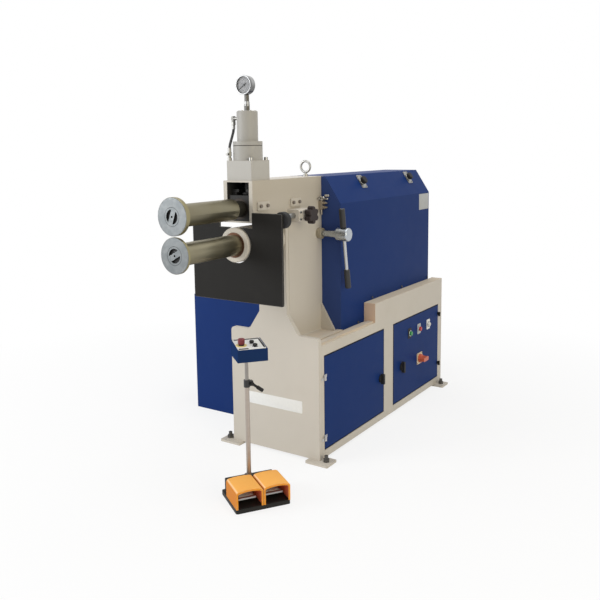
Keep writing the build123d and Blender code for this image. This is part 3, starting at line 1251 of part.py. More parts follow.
def lifting_eye():
    ring_z = HEAD_TOP + 16 + EYE_RING / 2 + EYE_WIRE / 2
    ring = Pos(0, EYE_Y, ring_z) * Rot(90, 0, 0) * Torus(EYE_RING / 2, EYE_WIRE / 2)
    neck = bar_z(18, (HEAD_TOP + 9, HEAD_TOP + 18), 0, EYE_Y)
    return ring + bar_z(30, (HEAD_TOP, HEAD_TOP + 10), 0, EYE_Y) + neck


def lower_arm():
    """Arm tube welded to the front plate and the bronze bush in its mouth."""
    tube = bar_y(ARM_D, (ARM_FRONT, 0), 0, LOWER_AXIS)
    tube = chamfer([e for e in tube.edges().filter_by(GeomType.CIRCLE) if e.center().Y < -1], 4)
    tube -= bar_y(BUSH_D, (ARM_FRONT - 1, 1), 0, LOWER_AXIS)
    bush = bar_y(BUSH_D, (ARM_FRONT - BUSH_PROUD, ARM_FRONT + BUSH_LENGTH), 0, LOWER_AXIS)
    bore = (ARM_FRONT - BUSH_PROUD - 1, ARM_FRONT + BUSH_LENGTH + 1)
    return tube, bush - bar_y(SHAFT_D + 2 * RUNNING, bore, 0, LOWER_AXIS)


# All nodes
save("base_cabinet", base_cabinet())
save("front_plate", front_plate())
save("column_frame", column_frame())
save("foot_plates", *foot_plates())
save("machine_bolts", *machine_bolts())
save("lifting_eye", lifting_eye())
save("cylinder_mount_block", mount_block())
save("hydraulic_cylinder", hydraulic_cylinder())
save("pipe_fittings", *pipe_fittings())
save("gauge_case", gauge_case())
save("gauge_needle", gauge_needle())
save("hydraulic_hose", hydraulic_hose())
arm_tube, front_bush = lower_arm()
save("lower_arm_tube", arm_tube)
save("lower_front_bush", front_bush)
save("rear_bearing_stand", bearing_stand())
save("rear_bearing_rings", *bearing_rings())
save("gear_reducer", gear_reducer())
save("drive_motor", drive_motor())
save("drive_cover", drive_cover())
save("side_brackets", *side_brackets())
save("door_hinges", *door_hinges())
save("power_pack_cabinet", pack_cabinet())
save("power_pack", power_pack())
save("electrical_panel", electrical_panel())
save("slide_block", *slide_block())
save("upper_shaft", *upper_shaft())
save("upper_roll", roll(UPPER_ROLL_D, UPPER_ROLL_WIDTH, ROLL_FACE, UPPER_AXIS))
save("upper_roll_nut", roll_nut(ROLL_FACE, UPPER_AXIS, UPPER_NUT_TURN))
save("piston_rod", piston_rod())
save("shift_collar", shift_collar())
save("lower_shaft", lower_shaft())
save("lower_roll", roll(LOWER_ROLL_D, LOWER_ROLL_WIDTH, ROLL_FACE + ROLL_SETBACK, LOWER_AXIS))
save("lower_roll_nut", roll_nut(ROLL_FACE + ROLL_SETBACK, LOWER_AXIS, LOWER_NUT_TURN))
lower_gear, upper_gear = gears()
save("lower_gear", lower_gear)
save("upper_gear", upper_gear)
save("stop_plate", stop_plate(), *guide_rods())
save("guide_roller", guide_roller())
save("star_knob", star_knob())
save("handle_spindle", handle_spindle())
save("tommy_bar", *tommy_bar())
front_knob, rear_knob = cover_knobs()
save("cover_knob_front", front_knob)
save("cover_knob_rear", rear_knob)
save("front_door", front_door())
save("rear_door", rear_door())
front_reach = FRONT_DOOR[1] + LATCH_LAP - FRONT_LATCH_Y
save("front_door_latch", door_latch(FRONT_LATCH_Y, FRONT_LATCH_WING, front_reach))
rear_reach = REAR_LATCH_Y + LATCH_LAP - REAR_DOOR[0]
save("rear_door_latch", door_latch(REAR_LATCH_Y, REAR_LATCH_WING, rear_reach))
save("start_button", push_button(START_Y))
save("stop_button", push_button(STOP_Y))
save("main_switch", main_switch())
save("pedal_base", pedal_base())
save("pedal_guards", *pedal_guards())
for pedal_name, pedal_middle in zip(("left_pedal", "right_pedal"), GUARD_MIDDLES):
    save(pedal_name, pedal(pedal_middle))
save("post_lower", *post_lower())
save("post_upper", post_upper())
save("clamp_lever", clamp_lever())
save("console_box", console_box())
save("emergency_stop", console_control(STOP_PLACE, ESTOP_D, ESTOP_D - 14, 12, 34))
save("console_button_left", console_control(LEFT_PLACE, CONSOLE_BUTTON_D, CONSOLE_BUTTON_D - 6, 6, 14))
save("console_button_right", console_control(RIGHT_PLACE, CONSOLE_BUTTON_D, CONSOLE_BUTTON_D - 6, 6, 14))
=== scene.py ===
"""Looks of a motor-driven bead roller: paint, bare steel, plastics, small fittings, studio and camera."""

import math

import bmesh
import bpy
from mathutils import Matrix, Vector


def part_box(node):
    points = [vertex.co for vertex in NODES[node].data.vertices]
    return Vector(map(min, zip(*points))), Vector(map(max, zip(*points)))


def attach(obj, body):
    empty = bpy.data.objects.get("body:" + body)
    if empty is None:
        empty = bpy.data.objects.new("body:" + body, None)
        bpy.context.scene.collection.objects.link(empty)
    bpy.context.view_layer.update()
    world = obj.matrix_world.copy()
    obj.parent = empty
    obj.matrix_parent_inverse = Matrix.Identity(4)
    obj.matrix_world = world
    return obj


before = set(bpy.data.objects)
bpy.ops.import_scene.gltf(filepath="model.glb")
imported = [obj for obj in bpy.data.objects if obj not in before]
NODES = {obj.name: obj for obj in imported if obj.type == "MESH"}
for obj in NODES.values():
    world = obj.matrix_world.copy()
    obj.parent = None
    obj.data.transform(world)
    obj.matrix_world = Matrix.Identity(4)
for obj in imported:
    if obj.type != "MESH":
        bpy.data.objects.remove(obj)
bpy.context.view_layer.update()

# Paint colours, as linear red, green and blue
CREAM = (0.545, 0.505, 0.445)
CREAM_DUST = (0.43, 0.38, 0.30)
# Greyer, darker painted-shade copy of the cream for the block and cylinder
CREAM_SHADED_GREY = (0.44, 0.425, 0.395)
BOSS_BROWN = (0.30, 0.26, 0.19)
# Painted warm light on the rails' front ends, painted light on the rail tops, deck tan partly dust and
# partly painted shade
RAIL_END_WARM_LIGHT = (0.72, 0.52, 0.37)
RAIL_TOP_LIGHT = (0.66, 0.565, 0.43)
DECK_DUST_AND_SHADE = (0.72, 0.60, 0.45)
# Painted shade inside the head's mouth
HEAD_INSIDE_SHADE = (0.030, 0.029, 0.028)
BLUE = (0.0072, 0.0290, 0.138)
BLUE_PALE = (0.030, 0.060, 0.165)
# Painted light for the cover's shaded front faces
COVER_FRONT_LIGHT = (0.033, 0.060, 0.19)
# Darker painted-shade copy of the blue for the console
CONSOLE_SHADED_BLUE = (0.013, 0.033, 0.105)
# Painted shadow of the gaps round the doors
DOOR_GAP_SHADOW = (0.008, 0.011, 0.020)
HINGE_PALE = (0.52, 0.53, 0.56)
BLACK_PAINT = (0.016, 0.015, 0.014)
BLACK_DUST = (0.045, 0.042, 0.038)
# Painted highlight on the stop plate's edges
EDGE_HIGHLIGHT = (0.40, 0.39, 0.37)
GREY_PAINT = (0.20, 0.215, 0.23)

# Metal colours
STEEL = (0.36, 0.365, 0.36)
# Shaft steel, tinted olive as a painted reflection of warm surroundings
STEEL_OLIVE_REFLECTION = (0.275, 0.25, 0.172)
STEEL_STAIN = (0.19, 0.16, 0.09)
STEEL_DARK = (0.085, 0.080, 0.075)
ROLL_STEEL = (0.160, 0.172, 0.176)
ROLL_STAIN = (0.26, 0.265, 0.262)
# Painted reflection of warm surroundings on the roll rims; painted shade in the nut slots
RIM_OLIVE_REFLECTION = (0.30, 0.265, 0.15)
SLOT_SHADE = (0.012, 0.012, 0.012)
JOURNAL_DARK = (0.035, 0.032, 0.024)
GEAR_STEEL = (0.36, 0.34, 0.31)
SLIDE_BLACK = (0.022, 0.021, 0.020)
ROD_BLACK = (0.026, 0.025, 0.024)
BUSH_DARK = (0.030, 0.024, 0.020)
BRONZE = (0.110, 0.058, 0.038)
BOLT_BROWN = (0.20, 0.17, 0.14)
POST_LOWER = (0.42, 0.365, 0.32)
POST_UPPER = (0.29, 0.27, 0.25)
CHROME = (0.50, 0.50, 0.50)
SPINDLE_CHROME = (0.45, 0.48, 0.51)
GAUGE_CHROME = (0.40, 0.40, 0.395)
# Painted shade on the lower half of the gauge's case
GAUGE_LOWER_SHADE = (0.14, 0.14, 0.135)
BEZEL_GREY = (0.19, 0.19, 0.19)
ZINC = (0.34, 0.335, 0.32)
FITTING_GREY = (0.24, 0.235, 0.22)
UNION_PALE = (0.36, 0.36, 0.355)
NUT_DARK = (0.050, 0.048, 0.045)
LUBE_PALE = (0.56, 0.54, 0.50)
LUBE_BROWN = (0.40, 0.35, 0.285)
# Painted shade: brown mottle over the lubrication fittings
LUBE_SHADE_BROWN = (0.085, 0.062, 0.040)
ALUMINIUM = (0.42, 0.42, 0.42)

# Plastic, rubber, sheet and glass colours
BLACK_PLASTIC = (0.016, 0.016, 0.017)
KNOB_BROWN = (0.029, 0.021, 0.021)
RUBBER = (0.022, 0.022, 0.023)
ORANGE = (0.94, 0.455, 0.110)
# Deeper, painted-shade copy of the hood orange for the lips
LIP_ORANGE_SHADED = (0.80, 0.31, 0.040)
# Hood colours: painted red light inside, painted highlight on corners and edges, painted shade on the
# upright walls
ORANGE_SHADE = (1.0, 0.27, 0.13)
ORANGE_HIGHLIGHT = (1.0, 0.72, 0.46)
ORANGE_FLANK_SHADE = (0.60, 0.19, 0.012)
RED = (0.40, 0.014, 0.012)
STOP_RED = (0.165, 0.013, 0.020)
SWITCH_RED = (0.56, 0.112, 0.050)
GREEN = (0.02, 0.24, 0.055)
SWITCHGEAR_GREY = (0.42, 0.42, 0.41)
LENS_WHITE = (0.62, 0.62, 0.60)
GLASS = (0.80, 0.82, 0.83)
WHITE = (0.78, 0.78, 0.76)
LEGEND_GREY = (0.42, 0.43, 0.43)
PLATE_PALE = (0.66, 0.56, 0.38)
YELLOW_PALE = (0.70, 0.56, 0.22)
DIAL = (0.235, 0.235, 0.245)
SCALE_GREY = (0.12, 0.12, 0.125)
POINTER_GREY = (0.035, 0.035, 0.038)

# Studio colours
FLOOR_COLOUR = (0.86, 0.86, 0.86)
LIGHT_WHITE = (1.0, 1.0, 1.0)
LIGHT_COOL = (0.96, 0.98, 1.0)
LIGHT_WARM = (1.0, 0.89, 0.63)


# Shader building
class Value:
    """A node's output that can stand in sums with numbers and other outputs."""

    def __init__(self, tree, socket):
        self.tree = tree
        self.socket = socket

    def maths(self, operation, *others):
        inputs = {0: self}
        for place, other in enumerate(others, 1):
            inputs[place] = other
        return self.tree.node("ShaderNodeMath", {"operation": operation}, inputs)

    def swapped(self, operation, other):
        return self.tree.node("ShaderNodeMath", {"operation": operation}, {0: other, 1: self})

    def __add__(self, other):
        return self.maths("ADD", other)

    def __radd__(self, other):
        return self.swapped("ADD", other)

    def __sub__(self, other):
        return self.maths("SUBTRACT", other)

    def __rsub__(self, other):
        return self.swapped("SUBTRACT", other)

    def __mul__(self, other):
        return self.maths("MULTIPLY", other)

    def __rmul__(self, other):
        return self.swapped("MULTIPLY", other)

    def __gt__(self, other):
        return self.maths("GREATER_THAN", other)

    def __lt__(self, other):
        return self.maths("LESS_THAN", other)

    def __abs__(self):
        return self.maths("ABSOLUTE")

    def clamped(self):
        return self.maths("MINIMUM", 1.0).maths("MAXIMUM", 0.0)


class Tree:
    """A node tree while its nodes are being laid."""

    def __init__(self, tree):
        self.tree = tree
        tree.nodes.clear()

    def node(self, kind, settings=None, inputs=None, out=0):
        """Add a node: its settings first, then the values or links of its sockets."""
        made = self.tree.nodes.new(kind)
        for key, value in (settings or {}).items():
            setattr(made, key, value)
        for key, value in (inputs or {}).items():
            if isinstance(value, Value):
                self.tree.links.new(value.socket, made.inputs[key])
            elif value is not None:
                made.inputs[key].default_value = value
        return Value(self, made.outputs[out]) if made.outputs else None

    def vectors(self, operation, first, second=None, out=0):
        """A sum of vectors."""
        return self.node("ShaderNodeVectorMath", {"operation": operation}, {0: first, 1: second}, out)

    def mix(self, share, first, second):
        """Blend two colours; a Mix node's colours are its sockets 6 and 7, and its output 2."""
        inputs = {0: share, 6: solid(first), 7: solid(second)}
        return self.node("ShaderNodeMix", {"data_type": "RGBA"}, inputs, 2)

    def fade(self, share, first, second):
        """Blend two numbers."""
        return share * second + (1.0 - share) * first

    def spread(self, value, low, high, to_low=0.0, to_high=1.0):
        """Map a value from one range to another, clamped."""
        inputs = {"Value": value, "From Min": low, "From Max": high, "To Min": to_low, "To Max": to_high}
        return self.node("ShaderNodeMapRange", {"clamp": True}, inputs)

    def background_ray(self):
        """1 for rays that show the background: straight to the camera, mirrored or through glass."""
        kinds = ("Camera", "Glossy", "Transmission")
        rays = [self.node("ShaderNodeLightPath", out=f"Is {kind} Ray") for kind in kinds]
        return (rays[0] + rays[1] + rays[2]).clamped()


class Finish(Tree):
    """One material while its nodes are being laid."""

    def __init__(self, name):
        self.material = bpy.data.materials.new(name)
        self.material.use_nodes = True
        super().__init__(self.material.node_tree)
        self.place = self.node("ShaderNodeTexCoord", out="Object")

    def noise(self, scale, detail=3.0, stretch=None, rough=0.55):
        """Cloudy noise from 0 to 1; stretch multiplies the scale along each axis."""
        place = self.vectors("MULTIPLY", self.place, stretch) if stretch else self.place
        inputs = {"Vector": place, "Scale": scale, "Detail": detail, "Roughness": rough}
        return self.node("ShaderNodeTexNoise", {}, inputs, "Fac")

    def axis(self, letter):
        """One coordinate of the point being shaded, in metres."""
        return self.node("ShaderNodeSeparateXYZ", {}, {0: self.place}, letter)

    def along(self, origin, direction):
        """How far the point lies from an origin along a direction."""
        return self.vectors("DOT_PRODUCT", self.vectors("SUBTRACT", self.place, origin), direction, "Value")

    def radius(self, centre, direction):
        """Distance from a straight line through a point."""
        cross = self.vectors("CROSS_PRODUCT", self.vectors("SUBTRACT", self.place, centre), direction)
        return self.vectors("LENGTH", cross, None, "Value")

    def faces(self, direction):
        """How squarely the surface faces a direction: 1 straight towards it, -1 straight away."""
        normal = self.node("ShaderNodeNewGeometry", out="Normal")
        return self.vectors("DOT_PRODUCT", normal, direction, "Value")

    def rounded(self, radius):
        """Normal with the edges softened."""
        return self.node("ShaderNodeBevel", {"samples": 4}, {"Radius": radius})

    def edge(self, radius):
        """Near 1 on outer and inner edges, 0 on open faces."""
        return self.spread(1.0 - self.faces(self.rounded(radius)), 0.01, 0.25)

    def bump(self, height, depth, soft_edge):
        """Surface relief on top of softly rounded edges."""
        inputs = {"Height": height, "Strength": 1.0, "Distance": depth, "Normal": self.rounded(soft_edge)}
        return self.node("ShaderNodeBump", {}, inputs)

    def patched(self, patch, colour, gloss, shine):
        """Colour, roughness and metal with those of masked parts blended in."""
        for mask, other, metal, rough in patch(self) if patch else ():
            colour = self.mix(mask, colour, other)
            gloss = self.fade(mask, gloss, rough)
            shine = self.fade(mask, shine, metal)
        return colour, gloss, shine

    def surface(self, colour, gloss, **sockets):
        """Finish with one principled shader; the names of other sockets use underscores for spaces."""
        inputs = {key.replace("_", " "): value for key, value in sockets.items()}
        inputs["Base Color"] = solid(colour)
        inputs["Roughness"] = gloss
        shader = self.node("ShaderNodeBsdfPrincipled", {}, inputs, "BSDF")
        self.node("ShaderNodeOutputMaterial", {}, {"Surface": shader})
        return self.material


def solid(colour):
    """A colour with full alpha, or the value unchanged if it is a link."""
    return (*colour, 1.0) if isinstance(colour, tuple) else colour


def shade(colour, factor, lift=0.0):
    """A colour made lighter or darker, and lifted."""
    return tuple(min(1.0, part * factor + lift) for part in colour)


# Finishes
def enamel(name, colour, dust, rough=0.38, sheen=0.25, rim=None, patch=None):
    """Sprayed enamel: faint cloudiness, orange peel, dust and wear on the edges, or a painted edge
    highlight where a rim colour is given.
    """
    f = Finish(name)
    cloud = f.spread(f.noise(2.2, 4.0), 0.3, 0.7)
    speck = f.spread(f.noise(95.0, 2.0), 0.62, 0.80)
    grime = f.spread(f.noise(7.0, 5.0), 0.55, 0.85) * 0.14
    paint = f.mix(cloud * 0.6, colour, shade(colour, 1.10))
    paint = f.mix(grime, paint, dust)
    # Edges: dust colour, or a painted highlight where a rim colour is given
    paint = f.mix(f.edge(0.006) * 0.32, paint, rim or dust)
    paint = f.mix(speck * 0.06, paint, dust)
    peel = f.noise(420.0, 2.0) + f.noise(60.0, 2.0) * 0.8
    gloss = rough + f.noise(11.0, 4.0) * 0.10 + grime * 0.15
    paint, gloss, shine = f.patched(patch, paint, gloss, 0.0)
    normal = f.bump(peel, 0.00010, 0.0015)
    return f.surface(paint, gloss, Metallic=shine, Normal=normal, Specular_IOR_Level=sheen)


def turned_steel(name, colour, centre=None, rough=0.30, stain_colour=None, patch=None, mottle=0.0):
    """Lathe-turned steel: fine tool rings about a shaft's axis, stains and a soft oil film."""
    f = Finish(name)
    rings = f.noise(900.0, 2.0, (0.02, 1.0, 0.02))
    if centre:
        out = f.radius(centre, REARWARD)
        rings = rings * 0.5 + (out * 4200.0).maths("SINE") * 0.25 + f.noise(260.0, 2.0) * 0.15
    stain = f.spread(f.noise(6.0, 5.0), 0.42, 0.75)
    streak = f.spread((f.axis("Y") * 38.0 + f.noise(3.0) * 4.0).maths("SINE"), -1.0, 1.0)
    metal = f.mix(stain * 0.35, colour, shade(colour, 0.72))
    metal = f.mix(streak * 0.22, metal, stain_colour or shade(colour, 0.85))
    metal = f.mix(f.edge(0.003) * 0.4, metal, shade(colour, 1.35))
    if mottle:
        metal = f.mix(f.spread(f.noise(30.0, 5.0), 0.40, 0.75) * mottle, metal, ROLL_STAIN)
    gloss = rough + rings * 0.10 + stain * 0.10
    metal, gloss, shine = f.patched(patch, metal, gloss, 1.0)
    return f.surface(metal, gloss, Metallic=shine, Normal=f.bump(rings, 0.00006, 0.0012))


def plated(name, colour, rough=0.16, patch=None):
    """Plated metal with fine scuffs and dull spots."""
    f = Finish(name)
    scuff = f.noise(240.0, 2.0, (1.0, 0.15, 0.15))
    dull = f.spread(f.noise(34.0, 4.0), 0.45, 0.75)
    metal = f.mix(dull * 0.30, colour, shade(colour, 0.70))
    gloss = rough + dull * 0.14 + scuff * 0.06
    metal, gloss, shine = f.patched(patch, metal, gloss, 1.0)
    return f.surface(metal, gloss, Metallic=shine, Normal=f.bump(scuff, 0.00005, 0.0008))


def moulded(name, colour, rough=0.42, grain=650.0, depth=0.00016, coat=0.0,
            sheen=0.5, worn=None, patch=None):
    """Moulded plastic with a fine grain and slightly rubbed edges; a given worn colour is laid on the edges
    as a painted highlight.
    """
    f = Finish(name)
    pores = f.noise(grain, 3.0)
    edge_rub_and_highlight = (f.edge(0.003) * f.spread(f.noise(40.0, 3.0), 0.35, 0.65)).clamped()
    cloud = f.spread(f.noise(14.0, 3.0), 0.35, 0.7)
    body = f.mix(cloud * 0.14, colour, shade(colour, 1.35, 0.004))
    gloss = rough + pores * 0.14 + edge_rub_and_highlight * 0.08
    body, gloss, shine = f.patched(patch, body, gloss, 0.0)
    # Rubbed edges; a given worn colour makes this a painted highlight along the edges
    body = f.mix(edge_rub_and_highlight * (0.75 if worn else 0.30), body, worn or shade(colour, 1.5, 0.03))
    normal = f.bump(pores, depth, 0.001)
    return f.surface(body, gloss, Metallic=shine, Normal=normal, Coat_Weight=coat, Specular_IOR_Level=sheen)


def blackened(name, colour, rough=0.36, patch=None):
    """Blackened, oiled steel: dark with brown streaks and a low sheen."""
    f = Finish(name)
    streak = f.noise(30.0, 5.0, (1.0, 0.2, 2.0))
    metal = f.mix(f.spread(streak, 0.4, 0.75) * 0.5, colour, shade(colour, 1.7, 0.008))
    gloss = rough + streak * 0.2
    metal, gloss, shine = f.patched(patch, metal, gloss, 0.6)
    return f.surface(metal, gloss, Metallic=shine, Normal=f.bump(streak, 0.0001, 0.001))


def printed(name, colour, rough=0.45):
    """Smooth printed sheet, a little uneven in tone."""
    f = Finish(name)
    tone = f.spread(f.noise(60.0, 3.0), 0.3, 0.7)
    ink = f.mix(tone * 0.5, colour, shade(colour, 0.92))
    return f.surface(ink, rough + tone * 0.08, Normal=f.bump(tone, 0.00003, 0.0001))


def clear(name):
    """Clear glass with the faintest unevenness."""
    f = Finish(name)
    wave = f.noise(25.0, 2.0)
    normal = f.bump(wave, 0.00002, 0.0004)
    return f.surface(GLASS, 0.02 + wave * 0.02, Normal=normal, Specular_IOR_Level=0.0, Alpha=0.05)


# Directions in the frame
SIDEWAYS = (1.0, 0.0, 0.0)
REARWARD = (0.0, 1.0, 0.0)
FORWARD = (0.0, -1.0, 0.0)
UPWARD = (0.0, 0.0, 1.0)


# Places on the object that finishes and pieces share, in metres
def middle(node):
    """Centre of a node's box."""
    low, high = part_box(node)
    return (low + high) / 2


SLACK = 0.0005
UPPER_AXIS = middle("upper_roll")
LOWER_AXIS = middle("lower_roll")
FRONT_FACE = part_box("front_plate")[0].y
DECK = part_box("column_frame")[0].z
RAIL_FRONT = 0.620
COLUMN_SIDE = 0.089
COLUMN_WALL = 0.022
HEAD_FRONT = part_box("column_frame")[0].y
HEAD_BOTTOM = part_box("front_plate")[1].z
HEAD_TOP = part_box("cylinder_mount_block")[0].z
HEAD_SKIN = 0.008
CYLINDER = middle("hydraulic_cylinder")
CYLINDER_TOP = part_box("hydraulic_cylinder")[1].z
GAUGE = middle("gauge_case")
COVER_LOW, COVER_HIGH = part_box("drive_cover")
PLATE_THICK = 0.010
PLATE_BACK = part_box("stop_plate")[0].y + PLATE_THICK
BUTTON_STANDOUT = 0.018
DOOR_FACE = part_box("start_button")[1].x - BUTTON_STANDOUT
HUB_INSET = 0.035
HUB = Vector((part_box("handle_spindle")[1].x - HUB_INSET, middle("handle_spindle").y, LOWER_AXIS.z))
BAR_TILT = math.radians(8.5)
BAR_ALONG = (0.0, -math.sin(BAR_TILT), math.cos(BAR_TILT))

# Pedal station: its place and turn, and the shape of the hoods
STATION = Matrix.Translation((0.236, -0.496, 0.0)) @ Matrix.Rotation(math.radians(56), 4, "Z")
PEDAL_SPOTS = {"left": -0.066, "right": 0.066}
PEDAL_LENGTH = 0.096
PEDAL_FALL = 0.006
PEDAL_HEEL = (0.020, 0.046)
HOOD_HALF = 0.065
HOOD_CORNER = 0.016
HOOD_SPRING = 0.082
HOOD_CROWN = 0.006
HOOD_MIDDLE = 0.045
HOOD_FOOT = 0.020
HOOD_FRONT = -0.1127

# Console: its slope and turn, and the places of its controls
CONSOLE_TILT = math.radians(5)
CONSOLE_DEPTH = 0.155
CONSOLE_TURN = Matrix.Rotation(math.radians(50), 4, "Z") @ Matrix.Rotation(CONSOLE_TILT, 4, "X")
STOP_SPOT = (-0.0398, -0.0142)
BUTTON_SPOTS = {"console_button_left": (0.0142, 0.0075), "console_button_right": (0.0199, -0.0390)}


# Masks for nodes of several materials: each mask with its colour, metal and roughness
def door_patch(node, colour):
    """Painted shadow of the gap round a door's sheet, and hinge leaves that stand proud of it."""
    low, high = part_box(node)
    centre = middle(node)
    open_sheet = (high - low) / 2 - Vector((0.0, 0.005, 0.005))

    def patch(f):
        ends = abs(f.axis("Y") - centre.y) > open_sheet.y
        rims = abs(f.axis("Z") - centre.z) > open_sheet.z
        leaf = f.axis("X") > DOOR_FACE + SLACK
        # Painted shadow along the rims of the sheet, where the door's gap lies
        return [((ends + rims).clamped() * 0.85, DOOR_GAP_SHADOW, 0.0, 0.5), (leaf, colour, 0.0, 0.4)]
    return patch


def cover_front_light_patch(f):
    """Painted light: paler blue on the cover's forward-facing faces, lifting the shade they lie in."""
    return [(f.spread(f.faces(FORWARD), 0.6, 0.9), COVER_FRONT_LIGHT, 0.0, 0.5)]


def boss_patch(f):
    """Darker brown paint on the bearing boss of the handle's spindle."""
    boss_radius = 0.045
    return [(f.radius(tuple(HUB), SIDEWAYS) < boss_radius, BOSS_BROWN, 0.0, 0.4)]


def hinge_patch(f):
    """Black hinges of the rear door."""
    parting = (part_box("front_door")[1].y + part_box("rear_door")[0].y) / 2
    return [(f.axis("Y") > parting, BLACK_PAINT, 0.0, 0.45)]


def mouth_patch(f):
    """Painted shade: near-black on the inside of the head, and side faces darkening towards the top."""
    tall = (f.axis("Z") > HEAD_BOTTOM + HEAD_SKIN - SLACK) * (f.axis("Z") < HEAD_TOP - HEAD_SKIN + SLACK)
    wide = abs(f.axis("X")) < COLUMN_SIDE - COLUMN_WALL + SLACK
    inside = wide * tall * (f.axis("Y") > HEAD_FRONT + SLACK)
    # Painted shade on the side faces, growing towards the top; the film mask carries it
    shade_start = HEAD_BOTTOM - 0.037
    shade_full = HEAD_TOP - 0.062
    film = f.spread(f.axis("Z"), shade_start, shade_full, 0.0, 0.65) * (abs(f.faces(SIDEWAYS)) > 0.7)
    return [(film, CREAM_DUST, 0.0, 0.45), (inside, HEAD_INSIDE_SHADE, 0.0, 0.7)]


def rod_patch(f):
    """Guide rods and roller pin behind the stop plate."""
    return [(f.axis("Y") > PLATE_BACK + SLACK, STEEL, 1.0, 0.3)]


def grip_patch(f):
    """Plastic grips, thicker than the handle bar."""
    bar_radius = 0.0092
    return [(f.radius(tuple(HUB), BAR_ALONG) > bar_radius, BLACK_PLASTIC, 0.0, 0.5)]


def bush_patch(f):
    """Oiled bush inside the slide block."""
    bush_radius = 0.0521
    return [(f.radius((0.0, 0.0, UPPER_AXIS.z), REARWARD) < bush_radius, BUSH_DARK, 0.8, 0.45)]


def clamp_patch(f):
    """Black clamp ring and foot flange on the lower post tube."""
    low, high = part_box("post_lower")
    clamp_height = 0.0345
    flange_height = 0.0085
    clamp = f.axis("Z") > high.z - clamp_height
    flange = f.axis("Z") < low.z + flange_height
    return [((clamp + flange).clamped(), BLACK_PLASTIC, 0.0, 0.45)]


def screw_patch(f):
    """Bare clamp screw of the star knob."""
    screw_length = 0.031
    return [(f.axis("X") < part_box("star_knob")[0].x + screw_length, STEEL, 1.0, 0.3)]


def fitting_patch(f):
    """Dark nuts of the gauge stem on the cylinder and the browned lubrication block on the column."""
    stem = f.axis("Z") > CYLINDER_TOP - SLACK
    return [(stem, NUT_DARK, 0.9, 0.32), (f.axis("Y") > FRONT_FACE, LUBE_BROWN, 0.9, 0.36)]


def gauge_patch(f):
    """Painted shade: darker lower half of the gauge's case."""
    blend = 0.012
    lower = f.spread(f.axis("Z"), GAUGE.z - blend, GAUGE.z + blend, 0.85, 0.0)
    return [(lower, GAUGE_LOWER_SHADE, 1.0, 0.3)]


def lube_patch(f):
    """Painted shade: brown mottle over the small fittings of the lubrication block."""
    return [(f.spread(f.noise(70.0, 3.0), 0.50, 0.62, 0.0, 0.85), LUBE_SHADE_BROWN, 0.2, 0.4)]


def bolt_patch(f):
    """Bright screws on the cylinder's block and browned bolts on the column's pads."""
    block = f.axis("Z") > HEAD_TOP
    pads = (f.axis("Z") > HEAD_BOTTOM) * (f.axis("Z") < HEAD_TOP)
    return [(block, ZINC, 1.0, 0.3), (pads, BOLT_BROWN, 0.8, 0.45)]


def roll_patch(node):
    """Olive rim of a roll as a painted reflection of warm surroundings, painted shade in the spanner slots
    of its nut, and the dark fine gap round the nut.
    """
    low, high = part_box(node)
    rim_start = (high.x - low.x) / 2 - 0.0008
    slot_start = low.y + 0.0022
    slot_end = low.y + 0.026
    slot_reach = 0.0425
    gap_radius = 0.0421
    gap_half = 0.0009

    def patch(f):
        out = f.radius(tuple(middle(node)), REARWARD)
        sunk = f.axis("Y") > slot_start
        slots = sunk * (f.axis("Y") < slot_end) * (out < slot_reach)
        gap = (abs(out - gap_radius) < gap_half) * (1.0 - sunk)
        # Painted shade in the slots, joined with the dark line of the gap round the nut
        dark = (slots + gap).clamped()
        return [(out > rim_start, RIM_OLIVE_REFLECTION, 1.0, 0.32), (dark, SLOT_SHADE, 0.3, 0.6)]
    return patch


def shaft_patch(node):
    """Near-black band on the upper shaft, between its thick part and the slide block."""
    journal_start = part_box("slide_block")[0].y - 0.0645

    def patch(f):
        return roll_patch(node)(f) + [(f.axis("Y") > journal_start, JOURNAL_DARK, 0.6, 0.5)]
    return patch if node == "upper_roll" else roll_patch(node)


def rail_patch(f):
    """Painted warm light on the front ends of the two rails, painted light on their tops, and a mottled tan
    on the deck in front of them that is partly dust and partly painted shade.
    """
    dust_start = 0.03
    # Painted light on the rail ends and tops; the deck tint is partly dust and partly painted shade
    ends = (abs(f.axis("Y") - RAIL_FRONT) < SLACK) * (f.axis("Z") > DECK + SLACK)
    deck_mottle = f.spread(f.noise(9.0, 4.0, (1.0, 0.35, 1.0)), 0.35, 0.65, 0.15, 0.75)
    ahead = (f.axis("Y") < RAIL_FRONT - SLACK) * (f.axis("Y") > dust_start)
    deck = (f.axis("Z") > DECK - 3 * SLACK) * ahead * deck_mottle
    tops = f.axis("Z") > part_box("base_cabinet")[1].z - SLACK
    return [(ends, RAIL_END_WARM_LIGHT, 0.0, 0.5), (deck, DECK_DUST_AND_SHADE, 0.0, 0.6), (tops, RAIL_TOP_LIGHT, 0.0, 0.6)]


def guard_patch(f):
    """Hoods: redder inside as painted light bounced in them, a pale painted highlight on the left upper
    corners, deeper orange on the upright walls as painted shade.
    """
    side = tuple(STATION.col[0].to_3d())
    sideways = f.along(tuple(STATION.translation), side)
    offset = sideways - sideways.maths("SIGN") * PEDAL_SPOTS["right"]
    leaning = f.faces(side)
    rising = f.faces(UPWARD)
    outward = offset * leaning + (f.axis("Z") - HOOD_MIDDLE) * rising
    inside = (outward < -SLACK) * (abs(offset) < HOOD_HALF - 3 * SLACK)
    # Painted highlight on the rounded upper corners; painted shade on the upright walls
    corner = f.spread(leaning * rising, -0.50, -0.30, 0.7, 0.0) * (1.0 - inside)
    flank_shade = f.spread(abs(leaning), 0.6, 0.95, 0.0, 0.95) * (1.0 - inside)
    outer = [(corner, ORANGE_HIGHLIGHT, 0.0, 0.25), (flank_shade, ORANGE_FLANK_SHADE, 0.0, 0.4)]
    return [(inside, ORANGE_SHADE, 0.0, 0.5)] + outer


